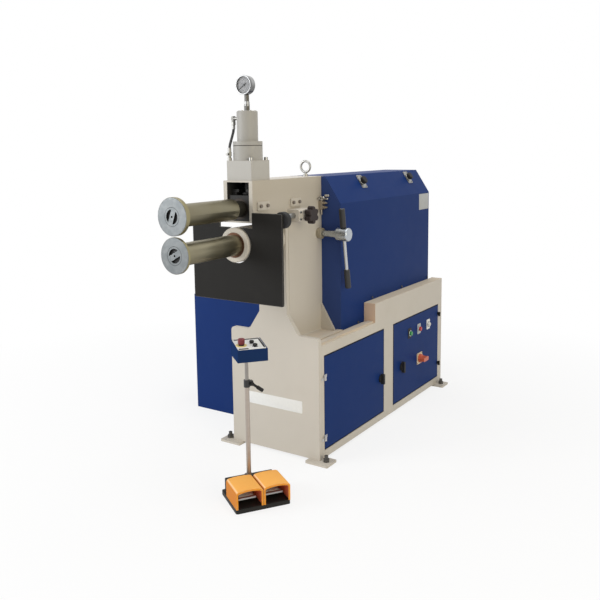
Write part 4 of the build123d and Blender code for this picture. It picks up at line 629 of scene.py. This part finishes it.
# Finishes of the pieces
cream = enamel("cream_enamel", CREAM, CREAM_DUST)
blue = enamel("blue_enamel", BLUE, BLUE_PALE, 0.42, 0.08)
black_enamel = enamel("black_enamel", BLACK_PAINT, BLACK_DUST, 0.5, 0.2)
chrome = plated("chrome_plate", CHROME)
zinc = plated("zinc_plate", ZINC, 0.3)
pale_union = plated("union_plate", UNION_PALE, 0.40)
lube_zinc = plated("lube_zinc", LUBE_PALE, 0.30, lube_patch)
bezel_plate = plated("bezel_plate", BEZEL_GREY, 0.25)
aluminium = plated("pedal_aluminium", ALUMINIUM, 0.45)
black = moulded("black_plastic", BLACK_PLASTIC, 0.5, sheen=0.22)
# Painted shade: the hood lips take a deeper copy of the hood orange, with a painted edge highlight
lip_orange_shaded = moulded("lip_orange_shaded", LIP_ORANGE_SHADED, 0.38, 500.0, 0.00015, sheen=0.03, worn=ORANGE_HIGHLIGHT)
lens_white = moulded("lens_white", LENS_WHITE, 0.22, 500.0, 0.00004, 0.3)
label_white = printed("label_white", WHITE)
label_grey = printed("label_grey", LEGEND_GREY)
switch_sheet = printed("switch_sheet", PLATE_PALE)
pale_yellow = printed("pale_yellow_sheet", YELLOW_PALE)
dial_white = printed("dial_white", DIAL)
scale_grey = printed("scale_grey", SCALE_GREY)
pointer_grey = printed("pointer_grey", POINTER_GREY)
clear_glass = clear("gauge_glass")


# Finishes of the solids
def dress(finish, *nodes):
    """Give CAD nodes a finish."""
    for name in nodes:
        NODES[name].data.materials.clear()
        NODES[name].data.materials.append(finish)


def dress_frame():
    """Painted frame, cabinets, doors and housings."""
    dress(cream, "front_plate", "lower_arm_tube", "foot_plates")
    # Painted shade: the block and cylinder take greyer, darker copies of the cream paint, the cylinder
    # darker still
    dress(enamel("block_shaded_enamel", CREAM_SHADED_GREY, CREAM_DUST), "cylinder_mount_block")
    dress(enamel("cylinder_shaded_enamel", shade(CREAM_SHADED_GREY, 0.84), CREAM_DUST), "hydraulic_cylinder")
    dress(enamel("bracket_enamel", CREAM, CREAM_DUST, patch=boss_patch), "side_brackets")
    dress(enamel("column_enamel", CREAM, CREAM_DUST, patch=mouth_patch), "column_frame")
    dress(enamel("cabinet_enamel", CREAM, CREAM_DUST, patch=rail_patch), "base_cabinet")
    dress(enamel("hinge_enamel", HINGE_PALE, CREAM_DUST, patch=hinge_patch), "door_hinges")
    dress(blue, "power_pack_cabinet")
    dress(enamel("cover_enamel", BLUE, BLUE_PALE, 0.42, 0.06, patch=cover_front_light_patch), "drive_cover")
    # Painted shade: the console takes a darker copy of the blue paint
    dress(enamel("console_shaded_enamel", CONSOLE_SHADED_BLUE, BLUE_PALE, 0.5, 0.0), "console_box")
    for door, leaf in (("front_door", HINGE_PALE), ("rear_door", BLACK_PAINT)):
        dress(enamel(f"{door}_enamel", BLUE, BLUE_PALE, 0.42, 0.05, patch=door_patch(door, leaf)), door)
    grey = enamel("grey_enamel", GREY_PAINT, STEEL_DARK, 0.45)
    dress(grey, "gear_reducer", "drive_motor", "power_pack", "rear_bearing_stand")
    # Stop plate: painted highlight along its edges
    stop_paint = enamel("stop_plate_paint", BLACK_PAINT, BLACK_DUST, 0.55, 0.12, EDGE_HIGHLIGHT, rod_patch)
    dress(stop_paint, "stop_plate")
    dress(black_enamel, "pedal_base")


def dress_rolls():
    """Turned shafts, rolls, nuts and gears, and bronze bearings."""
    # Painted light: the lower shaft takes a lighter copy of the steel and the upper a darker one
    for side, tone in (("upper", 0.92), ("lower", 1.25)):
        roll = f"{side}_roll"
        reflected_olive = shade(STEEL_OLIVE_REFLECTION, tone)
        worn = turned_steel(f"{side}_shaft_steel", reflected_olive, None, 0.30, STEEL_STAIN, shaft_patch(roll))
        dress(worn, f"{side}_shaft")
        centre = tuple(middle(roll))
        ground = turned_steel(f"{side}_roll_steel", ROLL_STEEL, centre, 0.36, None, roll_patch(roll), 0.5)
        dress(ground, roll, f"{side}_roll_nut")
    dress(turned_steel("gear_steel", GEAR_STEEL, None, 0.36), "upper_gear", "lower_gear")
    bronze = turned_steel("bush_bronze", BRONZE, tuple(LOWER_AXIS), 0.40)
    dress(bronze, "lower_front_bush", "shift_collar", "rear_bearing_rings")


def dress_fittings():
    """Blackened and plated steel."""
    dress(blackened("slide_black", SLIDE_BLACK, 0.5, bush_patch), "slide_block")
    dress(blackened("rod_black", ROD_BLACK, 0.5), "piston_rod")
    dress(blackened("bolt_steel", STEEL_DARK, 0.36, bolt_patch), "machine_bolts")
    dress(plated("spindle_chrome", SPINDLE_CHROME, 0.22), "handle_spindle")
    dress(plated("handle_bar_chrome", CHROME, 0.18, grip_patch), "tommy_bar")
    dress(plated("gauge_chrome", GAUGE_CHROME, 0.22, gauge_patch), "gauge_case")
    dress(plated("fitting_plate", FITTING_GREY, 0.38, fitting_patch), "pipe_fittings")
    dress(plated("post_steel", POST_LOWER, 0.36, clamp_patch), "post_lower")
    dress(plated("upper_post_steel", POST_UPPER, 0.32), "post_upper")
    dress(zinc, "lifting_eye")
    dress(aluminium, "left_pedal", "right_pedal")


def dress_plastics():
    """Knobs, buttons, guards, hose and switchgear."""
    dress(black, "guide_roller", "front_door_latch", "rear_door_latch", "clamp_lever", "gauge_needle")
    dress(black, "cover_knob_front", "cover_knob_rear", "console_button_left", "console_button_right")
    dress(moulded("star_knob_plastic", KNOB_BROWN, 0.45, sheen=0.2, patch=screw_patch), "star_knob")
    dress(moulded("hose_rubber", RUBBER, 0.55, 900.0), "hydraulic_hose")
    guard_look = {"sheen": 0.03, "worn": ORANGE_HIGHLIGHT, "patch": guard_patch}
    dress(moulded("guard_orange", ORANGE, 0.38, 500.0, 0.00015, **guard_look), "pedal_guards")
    dress(moulded("green_plastic", GREEN, 0.3, 700.0, 0.00008, 0.1), "start_button")
    dress(moulded("red_plastic", RED, 0.3, 700.0, 0.00008, 0.1), "stop_button")
    dress(moulded("stop_red", STOP_RED, 0.36, 700.0, 0.00008), "emergency_stop")
    dress(moulded("switch_red", SWITCH_RED, 0.34, 700.0, 0.00008, 0.1), "main_switch")
    dress(moulded("switchgear_grey", SWITCHGEAR_GREY, 0.5), "electrical_panel")


dress_frame()
dress_rolls()
dress_fittings()
dress_plastics()


# Mesh building
def shifted(x, y, z):
    """Place without a turn."""
    return Matrix.Translation((x, y, z))


AT_ORIGIN = shifted(0.0, 0.0, 0.0)


def facing(at, out, up=UPWARD):
    """Place with its own Z along out and its own Y as near to up as it goes."""
    z = Vector(out).normalized()
    x = Vector(up).cross(z).normalized()
    y = z.cross(x)
    turn = Matrix((x, y, z)).transposed().to_4x4()
    return Matrix.Translation(at) @ turn


def piece(name, shape, finish, body, place=AT_ORIGIN):
    """Turn a bmesh into a shown object that moves with a body of the frame."""
    mesh = bpy.data.meshes.new(name)
    bmesh.ops.recalc_face_normals(shape, faces=shape.faces)
    shape.to_mesh(mesh)
    shape.free()
    for face in mesh.polygons:
        face.use_smooth = True
    mesh.set_sharp_from_angle(angle=math.radians(32))
    mesh.materials.append(finish)
    made = bpy.data.objects.new(name, mesh)
    bpy.context.scene.collection.objects.link(made)
    made.matrix_world = place
    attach(made, body)
    return made


def joined(*shapes):
    """Several shapes as one, each with its own place."""
    whole = bmesh.new()
    for shape, place in shapes:
        shape.transform(place)
        spare = bpy.data.meshes.new("spare")
        shape.to_mesh(spare)
        shape.free()
        whole.from_mesh(spare)
        bpy.data.meshes.remove(spare)
    return whole


def turns(count):
    """Angles of a full turn in even steps."""
    return [2 * math.pi * step / count for step in range(count)]


def skin(shape, rows, ends=False):
    """Faces between closed rows of as many points, and over both ends where asked."""
    for low, high in zip(rows, rows[1:]):
        for step in range(len(low)):
            after = (step + 1) % len(low)
            shape.faces.new((low[step], low[after], high[after], high[step]))
    if ends:
        shape.faces.new(list(reversed(rows[0])))
        shape.faces.new(rows[-1])


def lathe(profile, segments=48):
    """Solid of revolution about Z from (radius, height) points."""
    shape = bmesh.new()
    rows = []
    for radius, height in profile:
        points = [(radius * math.cos(turn), radius * math.sin(turn), height) for turn in turns(segments)]
        rows.append([shape.verts.new(point) for point in points])
    skin(shape, rows)
    bmesh.ops.remove_doubles(shape, verts=shape.verts, dist=1e-6)
    return shape


def sleeve(profile, segments=24):
    """Turned sleeve round a pipe: its profile is closed along the bore."""
    return lathe(profile + profile[:1], segments)


def ring(inner, outer, low, high, soft):
    """Turned ring with softened upper edges."""
    profile = [(inner, low), (inner, high - soft), (inner + soft, high)]
    profile += [(outer - soft, high), (outer, high - soft), (outer, low)]
    return sleeve(profile, 48)


def rounded_outline(width, height, corner, steps=6):
    """Points of a rectangle with round corners, about the origin."""
    points = []
    for quarter, (sx, sy) in enumerate(((1, 1), (-1, 1), (-1, -1), (1, -1))):
        for step in range(steps + 1):
            angle = math.pi / 2 * (quarter + step / steps)
            x = sx * (width / 2 - corner) + corner * math.cos(angle)
            y = sy * (height / 2 - corner) + corner * math.sin(angle)
            points.append((x, y))
    return points


def raise_faces(shape, faces, thick):
    """Extrude flat faces upward."""
    grown = bmesh.ops.extrude_face_region(shape, geom=faces)
    top = [v for v in grown["geom"] if isinstance(v, bmesh.types.BMVert)]
    bmesh.ops.translate(shape, verts=top, vec=(0.0, 0.0, thick))


def sheet_of(points, thick, bevel=0.0):
    """Flat plate from an outline, standing on Z = 0, with its upper edge rounded."""
    shape = bmesh.new()
    face = shape.faces.new([shape.verts.new((x, y, 0.0)) for x, y in points])
    raise_faces(shape, [face], thick)
    if bevel:
        rim = [e for e in shape.edges if all(v.co.z > thick / 2 for v in e.verts)]
        bmesh.ops.bevel(shape, geom=rim, offset=bevel, segments=2, affect="EDGES", profile=0.5)
    return shape


def plate(width, height, thick, corner, bevel=0.0):
    """Flat plate with round corners."""
    return sheet_of(rounded_outline(width, height, corner), thick, bevel)


def drilled(width, height, thick, holes):
    """Thin plate with round holes, each given by its X, Y and radius."""
    shape = bmesh.new()
    edges = []
    outlines = [rounded_outline(width, height, 0.006)]
    for x, y, radius in holes:
        outlines.append([(x + radius * math.cos(turn), y + radius * math.sin(turn)) for turn in turns(24)])
    for outline in outlines:
        corners = [shape.verts.new((x, y, 0.0)) for x, y in outline]
        for first, second in zip(corners, corners[1:] + corners[:1]):
            edges.append(shape.edges.new((first, second)))
    bmesh.ops.triangle_fill(shape, use_beauty=True, edges=edges)
    raise_faces(shape, list(shape.faces), thick)
    return shape


def cap_screw(diameter, height):
    """Round socket head with a six-sided recess."""
    shape = bmesh.new()
    outer = [(math.cos(turn), math.sin(turn)) for turn in turns(24)]
    inner = []
    for turn in turns(24):
        reach = math.cos(math.pi / 6) / math.cos((turn % (math.pi / 3)) - math.pi / 6)
        inner.append((reach * math.cos(turn), reach * math.sin(turn)))
    r = diameter / 2
    levels = [(outer, r, 0.0), (outer, r, 0.85 * height), (outer, 0.9 * r, height)]
    levels += [(inner, 0.56 * r, height), (inner, 0.56 * r, 0.35 * height)]
    rows = [[shape.verts.new((x * s, y * s, z)) for x, y in points] for points, s, z in levels]
    skin(shape, rows, True)
    return shape


def bead(start, end, radius, sides=8):
    """Straight round bead of weld."""
    shape = bmesh.new()
    along = (Vector(end) - Vector(start)).normalized()
    side = along.orthogonal().normalized()
    other = along.cross(side)
    rim = [radius * (math.cos(turn) * side + math.sin(turn) * other) for turn in turns(sides)]
    rows = [[shape.verts.new(Vector(point) + out) for out in rim] for point in (start, end)]
    skin(shape, rows, True)
    return shape


def prism(points, length):
    """Bar of one section: points are X and Z, the length runs along Y from the origin both ways."""
    shape = bmesh.new()
    rows = [[shape.verts.new((x, side * length / 2, z)) for x, z in points] for side in (-1, 1)]
    skin(shape, rows, True)
    return shape


def band(outer, inner, thick):
    """Flat strip between two lines of as many points."""
    shape = bmesh.new()
    rows = []
    for line, z in ((outer, 0.0), (outer, thick), (inner, thick), (inner, 0.0)):
        rows.append([shape.verts.new((x, y, z)) for x, y in line])
    for low, high in zip(rows, rows[1:] + rows[:1]):
        for step in range(len(outer) - 1):
            shape.faces.new((low[step], low[step + 1], high[step + 1], high[step]))
    for end in (0, -1):
        shape.faces.new([row[end] for row in rows])
    return shape


# Pressure gauge
GAUGE_SWEEP = 250
DIAL_LOW = -0.006
DIAL_THICK = 0.0002
POINTER_HUB = [(0.0, -0.0050), (0.0052, -0.0050), (0.0052, -0.0030), (0.0040, -0.0024), (0.0, -0.0024)]
POINTER_HALF = [(0.0026, -0.014), (0.0019, 0.014), (0.0009, 0.0345)]
BLADE_LOW = -0.0051
UNION = [(0.0076, 0.0), (0.0125, 0.0), (0.0138, 0.002), (0.0138, 0.020), (0.0118, 0.026), (0.0076, 0.026)]
UNION_RISE = 0.022


def dial_scale(radius):
    """Forty steps on the dial, every fifth one longer and bolder."""
    marks = []
    for step in range(41):
        long = step % 5 == 0
        angle = math.radians(90 + GAUGE_SWEEP / 2 - GAUGE_SWEEP * step / 40)
        length = 0.0065 if long else 0.0034
        width = 0.0009 if long else 0.0005
        place = Matrix.Rotation(angle, 4, "Z") @ shifted(radius - length / 2, 0, DIAL_LOW + DIAL_THICK / 2)
        marks.append((plate(length, width, thick=0.00025, corner=0.0002), place))
    return joined(*marks)


def gauge():
    """Bezel, dial, scale, pane and needle of the gauge, and the union on its stem."""
    low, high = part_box("gauge_case")
    face = facing((GAUGE.x, low.y, GAUGE.z), FORWARD)
    radius = (high.x - low.x) / 2
    inner = radius - 0.005
    bezel = ring(inner - 0.0004, radius + 0.0010, low=-0.008, high=0.0022, soft=0.0010)
    piece("gauge_bezel", bezel, bezel_plate, "frame", face)
    dial_radius = inner - 0.0002
    dial_high = DIAL_LOW + DIAL_THICK
    dial = lathe([(0, DIAL_LOW), (dial_radius, DIAL_LOW), (dial_radius, dial_high), (0, dial_high)])
    piece("gauge_dial", dial, dial_white, "frame", face)
    piece("gauge_scale", dial_scale(inner - 0.004), scale_grey, "frame", face)
    rim = inner - 0.0014
    glass = lathe([(0, -0.0014), (rim, -0.0014), (rim, -0.0002), (0.6 * rim, 0.0006), (0, 0.0009)])
    piece("gauge_glass", glass, clear_glass, "frame", face)
    blade = sheet_of(POINTER_HALF + [(-x, y) for x, y in reversed(POINTER_HALF)], thick=0.0013)
    pointer = joined((blade, shifted(0, 0, BLADE_LOW)), (lathe(POINTER_HUB, 24), AT_ORIGIN))
    start = Matrix.Rotation(math.radians(GAUGE_SWEEP / 2), 4, "Z")
    piece("needle_blade", pointer, pointer_grey, "needle", face @ start)
    neck = shifted(GAUGE.x, CYLINDER.y, CYLINDER_TOP + UNION_RISE)
    piece("stem_union", sleeve(UNION), pale_union, "frame", neck)


# Controls on the rear door
LAMP_STEP = 0.147
SWITCH_CORNERS = [(x, y) for x in (-0.034, 0.034) for y in (-0.031, 0.031)]


def contact_block(width, height, depth):
    """Switch body behind the sheet: legs, a block clear of the pressed button, terminal bars and screws."""
    sheet = -0.002
    front = -0.019
    leg = 0.0035
    sunk = 0.002
    back = front - depth
    bar_y = height * 0.30
    turned = Matrix.Rotation(math.pi, 4, "X")
    shapes = [(plate(width, height, depth, corner=0.003, bevel=0.0012), shifted(0, 0, back))]
    for side in (-1, 1):
        strut = plate(leg, height * 0.6, sheet - front + sunk, corner=0.001)
        shapes.append((strut, shifted(side * (width - leg) / 2, 0, front - sunk)))
        terminals = plate(width * 0.9, height * 0.22, thick=0.005, corner=0.002, bevel=0.001)
        shapes.append((terminals, shifted(0, side * bar_y, back - 0.004)))
        for x in (-0.25 * width, 0.25 * width):
            screw = cap_screw(diameter=0.007, height=0.004)
            shapes.append((screw, shifted(x, side * bar_y, back - 0.007) @ turned))
    return joined(*shapes)


def door_buttons():
    """Legend sheet, collar and contacts of each button and of the lamp, and the lamp's lens."""
    low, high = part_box("start_button")
    radius = (high.y - low.y) / 2
    start = middle("start_button")
    stop = middle("stop_button")
    lamp_y = stop.y + LAMP_STEP
    spots = {"start": (start.y, black_enamel), "stop": (stop.y, label_grey), "lamp": (lamp_y, label_white)}
    for name, (y, sheet) in spots.items():
        place = facing((DOOR_FACE, y, start.z), SIDEWAYS)
        legend = drilled(width=0.050, height=0.066, thick=0.0016, holes=[(0.0, 0.0, radius + 0.0015)])
        piece(f"{name}_legend", legend, sheet, "door_rear", place)
        collar = ring(radius + 0.0006, radius + 0.0055, low=0.0015, high=0.0075, soft=0.001)
        piece(f"{name}_collar", collar, chrome, "door_rear", place)
        contacts = contact_block(width=0.040, height=0.044, depth=0.038)
        piece(f"{name}_contacts", contacts, black, "door_rear", place)
    foot = 0.001
    spring = 0.010
    rise = 0.009
    dome = [(radius * math.cos(a), spring + rise * math.sin(a)) for a in (0.0, 0.4, 0.8, 1.2)]
    lens = lathe([(0, foot), (radius, foot)] + dome + [(0, spring + rise)])
    lens_place = facing((DOOR_FACE, lamp_y, start.z), SIDEWAYS)
    piece("lamp_lens", lens, lens_white, "door_rear", lens_place)


def door_switch():
    """Plate, screws and body of the main switch."""
    switch = middle("main_switch")
    place = facing((DOOR_FACE, switch.y, switch.z), SIDEWAYS)
    sheet = drilled(width=0.080, height=0.074, thick=0.0025, holes=[(0.0, 0.0, 0.0285)])
    piece("isolator_plate", sheet, switch_sheet, "door_rear", place)
    screws = []
    for corner in SWITCH_CORNERS:
        screws.append((cap_screw(diameter=0.007, height=0.003), shifted(*corner, 0.0024)))
    piece("isolator_screws", joined(*screws), zinc, "door_rear", place)
    contacts = contact_block(width=0.060, height=0.064, depth=0.052)
    piece("isolator_body", contacts, black, "door_rear", place)


# Console on its post: its plain bars are given by width, height and middle
CONSOLE_BARS = ((0.120, 0.011, 0.0, 0.064), (0.008, 0.128, 0.060, 0.0), (0.046, 0.012, -0.039, -0.062))


def console_panel():
    """Panel sheet with bars, stop backing and collars on the console's sloping top."""
    low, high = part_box("console_box")
    centre = (low + high) / 2
    centre.z = high.z - CONSOLE_DEPTH / 2 * math.tan(CONSOLE_TILT)
    place = Matrix.Translation(centre) @ CONSOLE_TURN
    stop_hole = 0.0096
    button_hole = 0.0086
    holes = [(*STOP_SPOT, stop_hole)] + [(*spot, button_hole) for spot in BUTTON_SPOTS.values()]
    panel = drilled(width=0.132, height=0.146, thick=0.0012, holes=holes)
    piece("console_panel", panel, label_white, "console", place)
    bars = []
    for width, height, x, y in CONSOLE_BARS:
        bars.append((plate(width, height, thick=0.0008, corner=0.002), shifted(x, y, 0.0011)))
    piece("console_edges", joined(*bars), black, "console", place)
    stop_place = place @ shifted(*STOP_SPOT, 0.0)
    backing = ring(inner=0.0098, outer=0.0255, low=0.001, high=0.0035, soft=0.001)
    piece("stop_backing", backing, pale_yellow, "console", stop_place)
    stop_collar = ring(inner=0.0095, outer=0.014, low=0.003, high=0.0065, soft=0.001)
    piece("stop_collar", stop_collar, black, "console", stop_place)
    for name, spot in BUTTON_SPOTS.items():
        collar = ring(button_hole, outer=0.0142, low=0.0010, high=0.0024, soft=0.0006)
        piece(f"{name}_collar", collar, chrome, "console", place @ shifted(*spot, 0.0))


# Catches on the cover's slope
SLOPE_WIDTH = 0.0957
SLOPE_RISE = 0.148
CATCH_SHARE = 0.7
CATCH_SHEET = 0.003
CATCH_CORNERS = [(x, y) for x in (-0.034, 0.034) for y in (-0.022, 0.022)]


def cover_catches():
    """Plate, collar and screws under each of the cover's knobs."""
    x = COVER_HIGH.x - CATCH_SHARE * SLOPE_WIDTH
    z = COVER_HIGH.z - (1 - CATCH_SHARE) * SLOPE_RISE
    for name in ("cover_knob_front", "cover_knob_rear"):
        place = facing((x, middle(name).y, z), (SLOPE_RISE, 0.0, SLOPE_WIDTH), REARWARD)
        sheet = drilled(width=0.086, height=0.062, thick=CATCH_SHEET, holes=[(0.0, 0.0, 0.0075)])
        collar = ring(inner=0.0068, outer=0.0205, low=0.002, high=0.0068, soft=0.002)
        shapes = [(sheet, AT_ORIGIN), (collar, AT_ORIGIN)]
        for corner in CATCH_CORNERS:
            shapes.append((cap_screw(diameter=0.008, height=0.003), shifted(*corner, CATCH_SHEET)))
        piece(f"{name}_plate", joined(*shapes), zinc, "frame", place)


# Fastenings, plates and welds on the frame
BRACKET_ROWS = (0.034, 0.137)
BRACKET_RISES = (-0.018, 0.018)


def bracket_screws():
    """Four screws in each side bracket."""
    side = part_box("side_brackets")[1].x
    rod_z = middle("star_knob").z
    screws = []
    for sign in (-1, 1):
        for y in BRACKET_ROWS:
            for rise in BRACKET_RISES:
                place = facing((sign * side, y, rod_z + rise), (sign, 0, 0))
                screws.append((cap_screw(diameter=0.013, height=0.008), place))
    piece("bracket_screws", joined(*screws), zinc, "frame")


def cylinder_trim():
    """Six screws on the cylinder's crown and the dark seam round it."""
    circle = 0.040
    seam_drop = 0.169
    crown = []
    for turn in turns(6):
        angle = turn + math.radians(30)
        x = CYLINDER.x + circle * math.cos(angle)
        y = CYLINDER.y + circle * math.sin(angle)
        crown.append((cap_screw(diameter=0.011, height=0.003), shifted(x, y, CYLINDER_TOP)))
    piece("cylinder_screws", joined(*crown), zinc, "frame")
    seam = ring(inner=0.0695, outer=0.0722, low=-0.0005, high=0.0035, soft=0.0004)
    seam_place = shifted(CYLINDER.x, CYLINDER.y, CYLINDER_TOP - seam_drop)
    piece("cylinder_seam", seam, black_enamel, "frame", seam_place)


def blank_plates():
    """Bare plates on the front plate and on the cover's rear upper corner."""
    front_height = 0.282
    from_rear = 0.083
    from_top = 0.207
    stock = {"thick": 0.0012, "corner": 0.004, "bevel": 0.0005}
    front = facing((0.0, FRONT_FACE, front_height), FORWARD)
    wide = plate(width=0.358, height=0.066, **stock)
    piece("blank_plate", wide, label_white, "frame", front)
    corner = facing((COVER_HIGH.x, COVER_HIGH.y - from_rear, COVER_HIGH.z - from_top), SIDEWAYS)
    small = plate(width=0.150, height=0.104, **stock)
    piece("cover_blank_plate", small, label_grey, "frame", corner)


def welds():
    """Beads along the column's foot and up its front edges."""
    foot_start = 0.028
    foot_end = COVER_LOW.y - 0.003
    front_y = 0.0265
    front_low = DECK + 0.17
    front_high = HEAD_BOTTOM - 0.027
    runs = []
    for x in (-COLUMN_SIDE, COLUMN_SIDE):
        foot = bead((x, foot_start, DECK), (x, foot_end, DECK), radius=0.005)
        edge = bead((x, front_y, front_low), (x, front_y, front_high), radius=0.003)
        runs += [(foot, AT_ORIGIN), (edge, AT_ORIGIN)]
    piece("column_welds", joined(*runs), cream, "frame")


# Power pack enclosure
def louvres():
    """Seven lips on the enclosure's far side."""
    low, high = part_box("power_pack_cabinet")
    section = [(0.0, 0.016), (-0.009, 0.002), (-0.009, 0.0008), (0.0, 0.0145)]
    first_drop = 0.150
    pitch = 0.036
    lips = []
    for step in range(7):
        z = high.z - first_drop - pitch * step
        lips.append((prism(section, length=0.304), shifted(low.x, (low.y + high.y) / 2, z)))
    piece("louvre_lips", joined(*lips), blue, "frame")


# Pedals
def treads():
    """Ribs across the pedals."""
    slope = Matrix.Rotation(math.atan2(-PEDAL_FALL, PEDAL_LENGTH), 4, "X")
    first_rib = -0.072
    pitch = 0.011
    for name, across in PEDAL_SPOTS.items():
        ribs = []
        for step in range(7):
            rib = plate(width=0.072, height=0.0035, thick=0.0016, corner=0.0012, bevel=0.0005)
            ribs.append((rib, shifted(0.0, first_rib + pitch * step, 0.0)))
        place = STATION @ shifted(across, *PEDAL_HEEL) @ slope
        piece(f"{name}_tread", joined(*ribs), aluminium, f"pedal_{name}", place)


def hood_edge(margin):
    """Mouth of a pedal hood from foot to foot, drawn in by a margin."""
    half = HOOD_HALF - margin
    corner = HOOD_CORNER - min(margin, 0.010)
    spring = HOOD_SPRING - margin
    flat = half - corner
    quarter = [math.pi / 16 * step for step in range(9)]
    side = [(flat + corner * math.cos(a), spring - corner + corner * math.sin(a)) for a in quarter]
    shares = [1 - step / 6 for step in range(1, 12)]
    crown = [(flat * share, spring + HOOD_CROWN * (1 - share ** 2)) for share in shares]
    return [(half, 0.0)] + side + crown + [(-x, z) for x, z in reversed(side)] + [(-half, 0.0)]


def hood_lips():
    """Rolled lips round the mouths of the pedal hoods."""
    upright = Matrix.Rotation(math.pi / 2, 4, "X")
    lips = []
    for across in PEDAL_SPOTS.values():
        lip = band(hood_edge(margin=0.0004), hood_edge(margin=0.009), thick=0.0026)
        lips.append((lip, STATION @ shifted(across, HOOD_FRONT, HOOD_FOOT) @ upright))
    piece("hood_lips", joined(*lips), lip_orange_shaded, "frame")


# Lubrication fittings on the side of the column
LUBE_SPOT = Vector((COLUMN_SIDE + 0.012, 0.336, 1.362))
LUBE_COLLAR = [(0.0062, -0.012), (0.0125, -0.010), (0.0125, 0.006), (0.0062, 0.008)]
NIPPLE_FOOT = [(0.0, 0.0), (0.0075, 0.0), (0.0075, 0.008), (0.0050, 0.010), (0.0050, 0.014)]
NIPPLE_HEAD = [(0.0070, 0.017), (0.0070, 0.021), (0.0042, 0.025), (0.0, 0.026)]
SIDE_NIPPLES = ((0.002, -0.013, 0.004), (0.010, 0.013, -0.004), (0.022, 0.004, 0.014))
FRONT_NIPPLE = (0.0, -0.010, -0.002)


def lube_fittings():
    """A collar and four nipples."""
    shapes = [(sleeve(LUBE_COLLAR), Matrix.Translation(LUBE_SPOT))]
    outlets = [(spot, SIDEWAYS) for spot in SIDE_NIPPLES] + [(FRONT_NIPPLE, FORWARD)]
    for spot, out in outlets:
        shapes.append((lathe(NIPPLE_FOOT + NIPPLE_HEAD, 20), facing(LUBE_SPOT + Vector(spot), out)))
    piece("lube_fittings", joined(*shapes), lube_zinc, "frame")


# Hose ends
FERRULE = [(0.0066, 0.0), (0.0085, 0.0005), (0.0085, 0.019), (0.0066, 0.020)]
FERRULE_LENGTH = 0.020
HOSE_UPPER = (-0.086, -0.187)
HOSE_LOWER = (-0.066, -0.249)


def ferrules():
    """Crimped sleeves on both ends of the hose."""
    low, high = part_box("hydraulic_hose")
    upper = shifted(*HOSE_UPPER, high.z - FERRULE_LENGTH)
    lower = shifted(*HOSE_LOWER, low.z)
    shapes = [(sleeve(FERRULE), place) for place in (upper, lower)]
    piece("hose_ferrules", joined(*shapes), zinc, "frame")


gauge()
door_buttons()
door_switch()
console_panel()
cover_catches()
bracket_screws()
cylinder_trim()
blank_plates()
welds()
louvres()
treads()
hood_lips()
lube_fittings()
ferrules()


# Studio
def floor():
    """Pale floor that takes the shadow and looks white to the camera."""
    reach = 14.0
    corners = [(-reach, -reach, 0), (reach, -reach, 0), (reach, reach, 0), (-reach, reach, 0)]
    mesh = bpy.data.meshes.new("floor")
    mesh.from_pydata(corners, [], [(0, 1, 2, 3)])
    ground = bpy.data.objects.new("floor", mesh)
    bpy.context.scene.collection.objects.link(ground)
    f = Finish("studio_floor")
    colour = f.mix(f.noise(30.0, 3.0) * 0.03, FLOOR_COLOUR, shade(FLOOR_COLOUR, 0.93))
    plain = f.node("ShaderNodeBsdfDiffuse", {}, {"Color": colour})
    white = f.node("ShaderNodeEmission", {}, {"Color": solid(LIGHT_WHITE), "Strength": 1.0})
    far = f.spread(f.radius((0.0, 0.4, 0.0), UPWARD), 1.0, 3.2, 0.78, 1.0)
    both = f.node("ShaderNodeMixShader", {}, {0: f.background_ray() * far, 1: plain, 2: white})
    f.node("ShaderNodeOutputMaterial", {}, {"Surface": both})
    mesh.materials.append(f.material)


def sky():
    """White surroundings: full white to the camera and mirrors, a plain level of fill on the object."""
    fill = 0.46
    world = bpy.data.worlds.new("studio")
    bpy.context.scene.world = world
    world.use_nodes = True
    tree = Tree(world.node_tree)
    level = tree.spread(tree.background_ray(), 0.0, 1.0, fill, 1.0)
    light = tree.node("ShaderNodeBackground", {}, {"Color": solid(LIGHT_WHITE), "Strength": level})
    tree.node("ShaderNodeOutputWorld", {}, {"Surface": light})


def lamp(name, place, target, size, power, colour):
    """Square soft box aimed at a point."""
    data = bpy.data.lights.new(name, "AREA")
    data.shape = "SQUARE"
    data.size = size
    data.energy = power
    data.color = colour
    made = bpy.data.objects.new(name, data)
    bpy.context.scene.collection.objects.link(made)
    made.location = place
    made.rotation_euler = (Vector(target) - Vector(place)).to_track_quat("-Z", "Y").to_euler()


def camera():
    """The photograph's view: a person of middle height, standing to the right of the rolls."""
    eye_place = (2.245, -3.130, 1.631)
    heading = 33.45
    pitch = -7.762
    roll = -0.748
    focal_pixels = 740.6
    frame_pixels = 600.0
    centre_drop = 50.0
    data = bpy.data.cameras.new("view")
    data.sensor_width = 36.0
    data.lens = focal_pixels / frame_pixels * data.sensor_width
    data.shift_y = -centre_drop / frame_pixels
    data.clip_end = 60.0
    eye = bpy.data.objects.new("view", data)
    bpy.context.scene.collection.objects.link(eye)
    turn = Matrix.Rotation(math.radians(heading), 4, "Z")
    turn = turn @ Matrix.Rotation(math.radians(90 + pitch), 4, "X")
    turn = turn @ Matrix.Rotation(math.radians(roll), 4, "Z")
    eye.matrix_world = Matrix.Translation(eye_place) @ turn
    bpy.context.scene.camera = eye


floor()
sky()
lamp("key", (-5.4, -5.4, 3.0), (0.0, 0.2, 0.7), 3.6, 345.0, LIGHT_COOL)
lamp("side", (6.4, -2.2, 2.5), (0.0, 0.6, 0.7), 3.6, 134.0, LIGHT_WARM)
lamp("top", (0.4, 0.2, 6.4), (0.0, 0.6, 0.8), 4.0, 150.0, LIGHT_WHITE)
camera()
bpy.context.scene.view_settings.view_transform = "Standard"
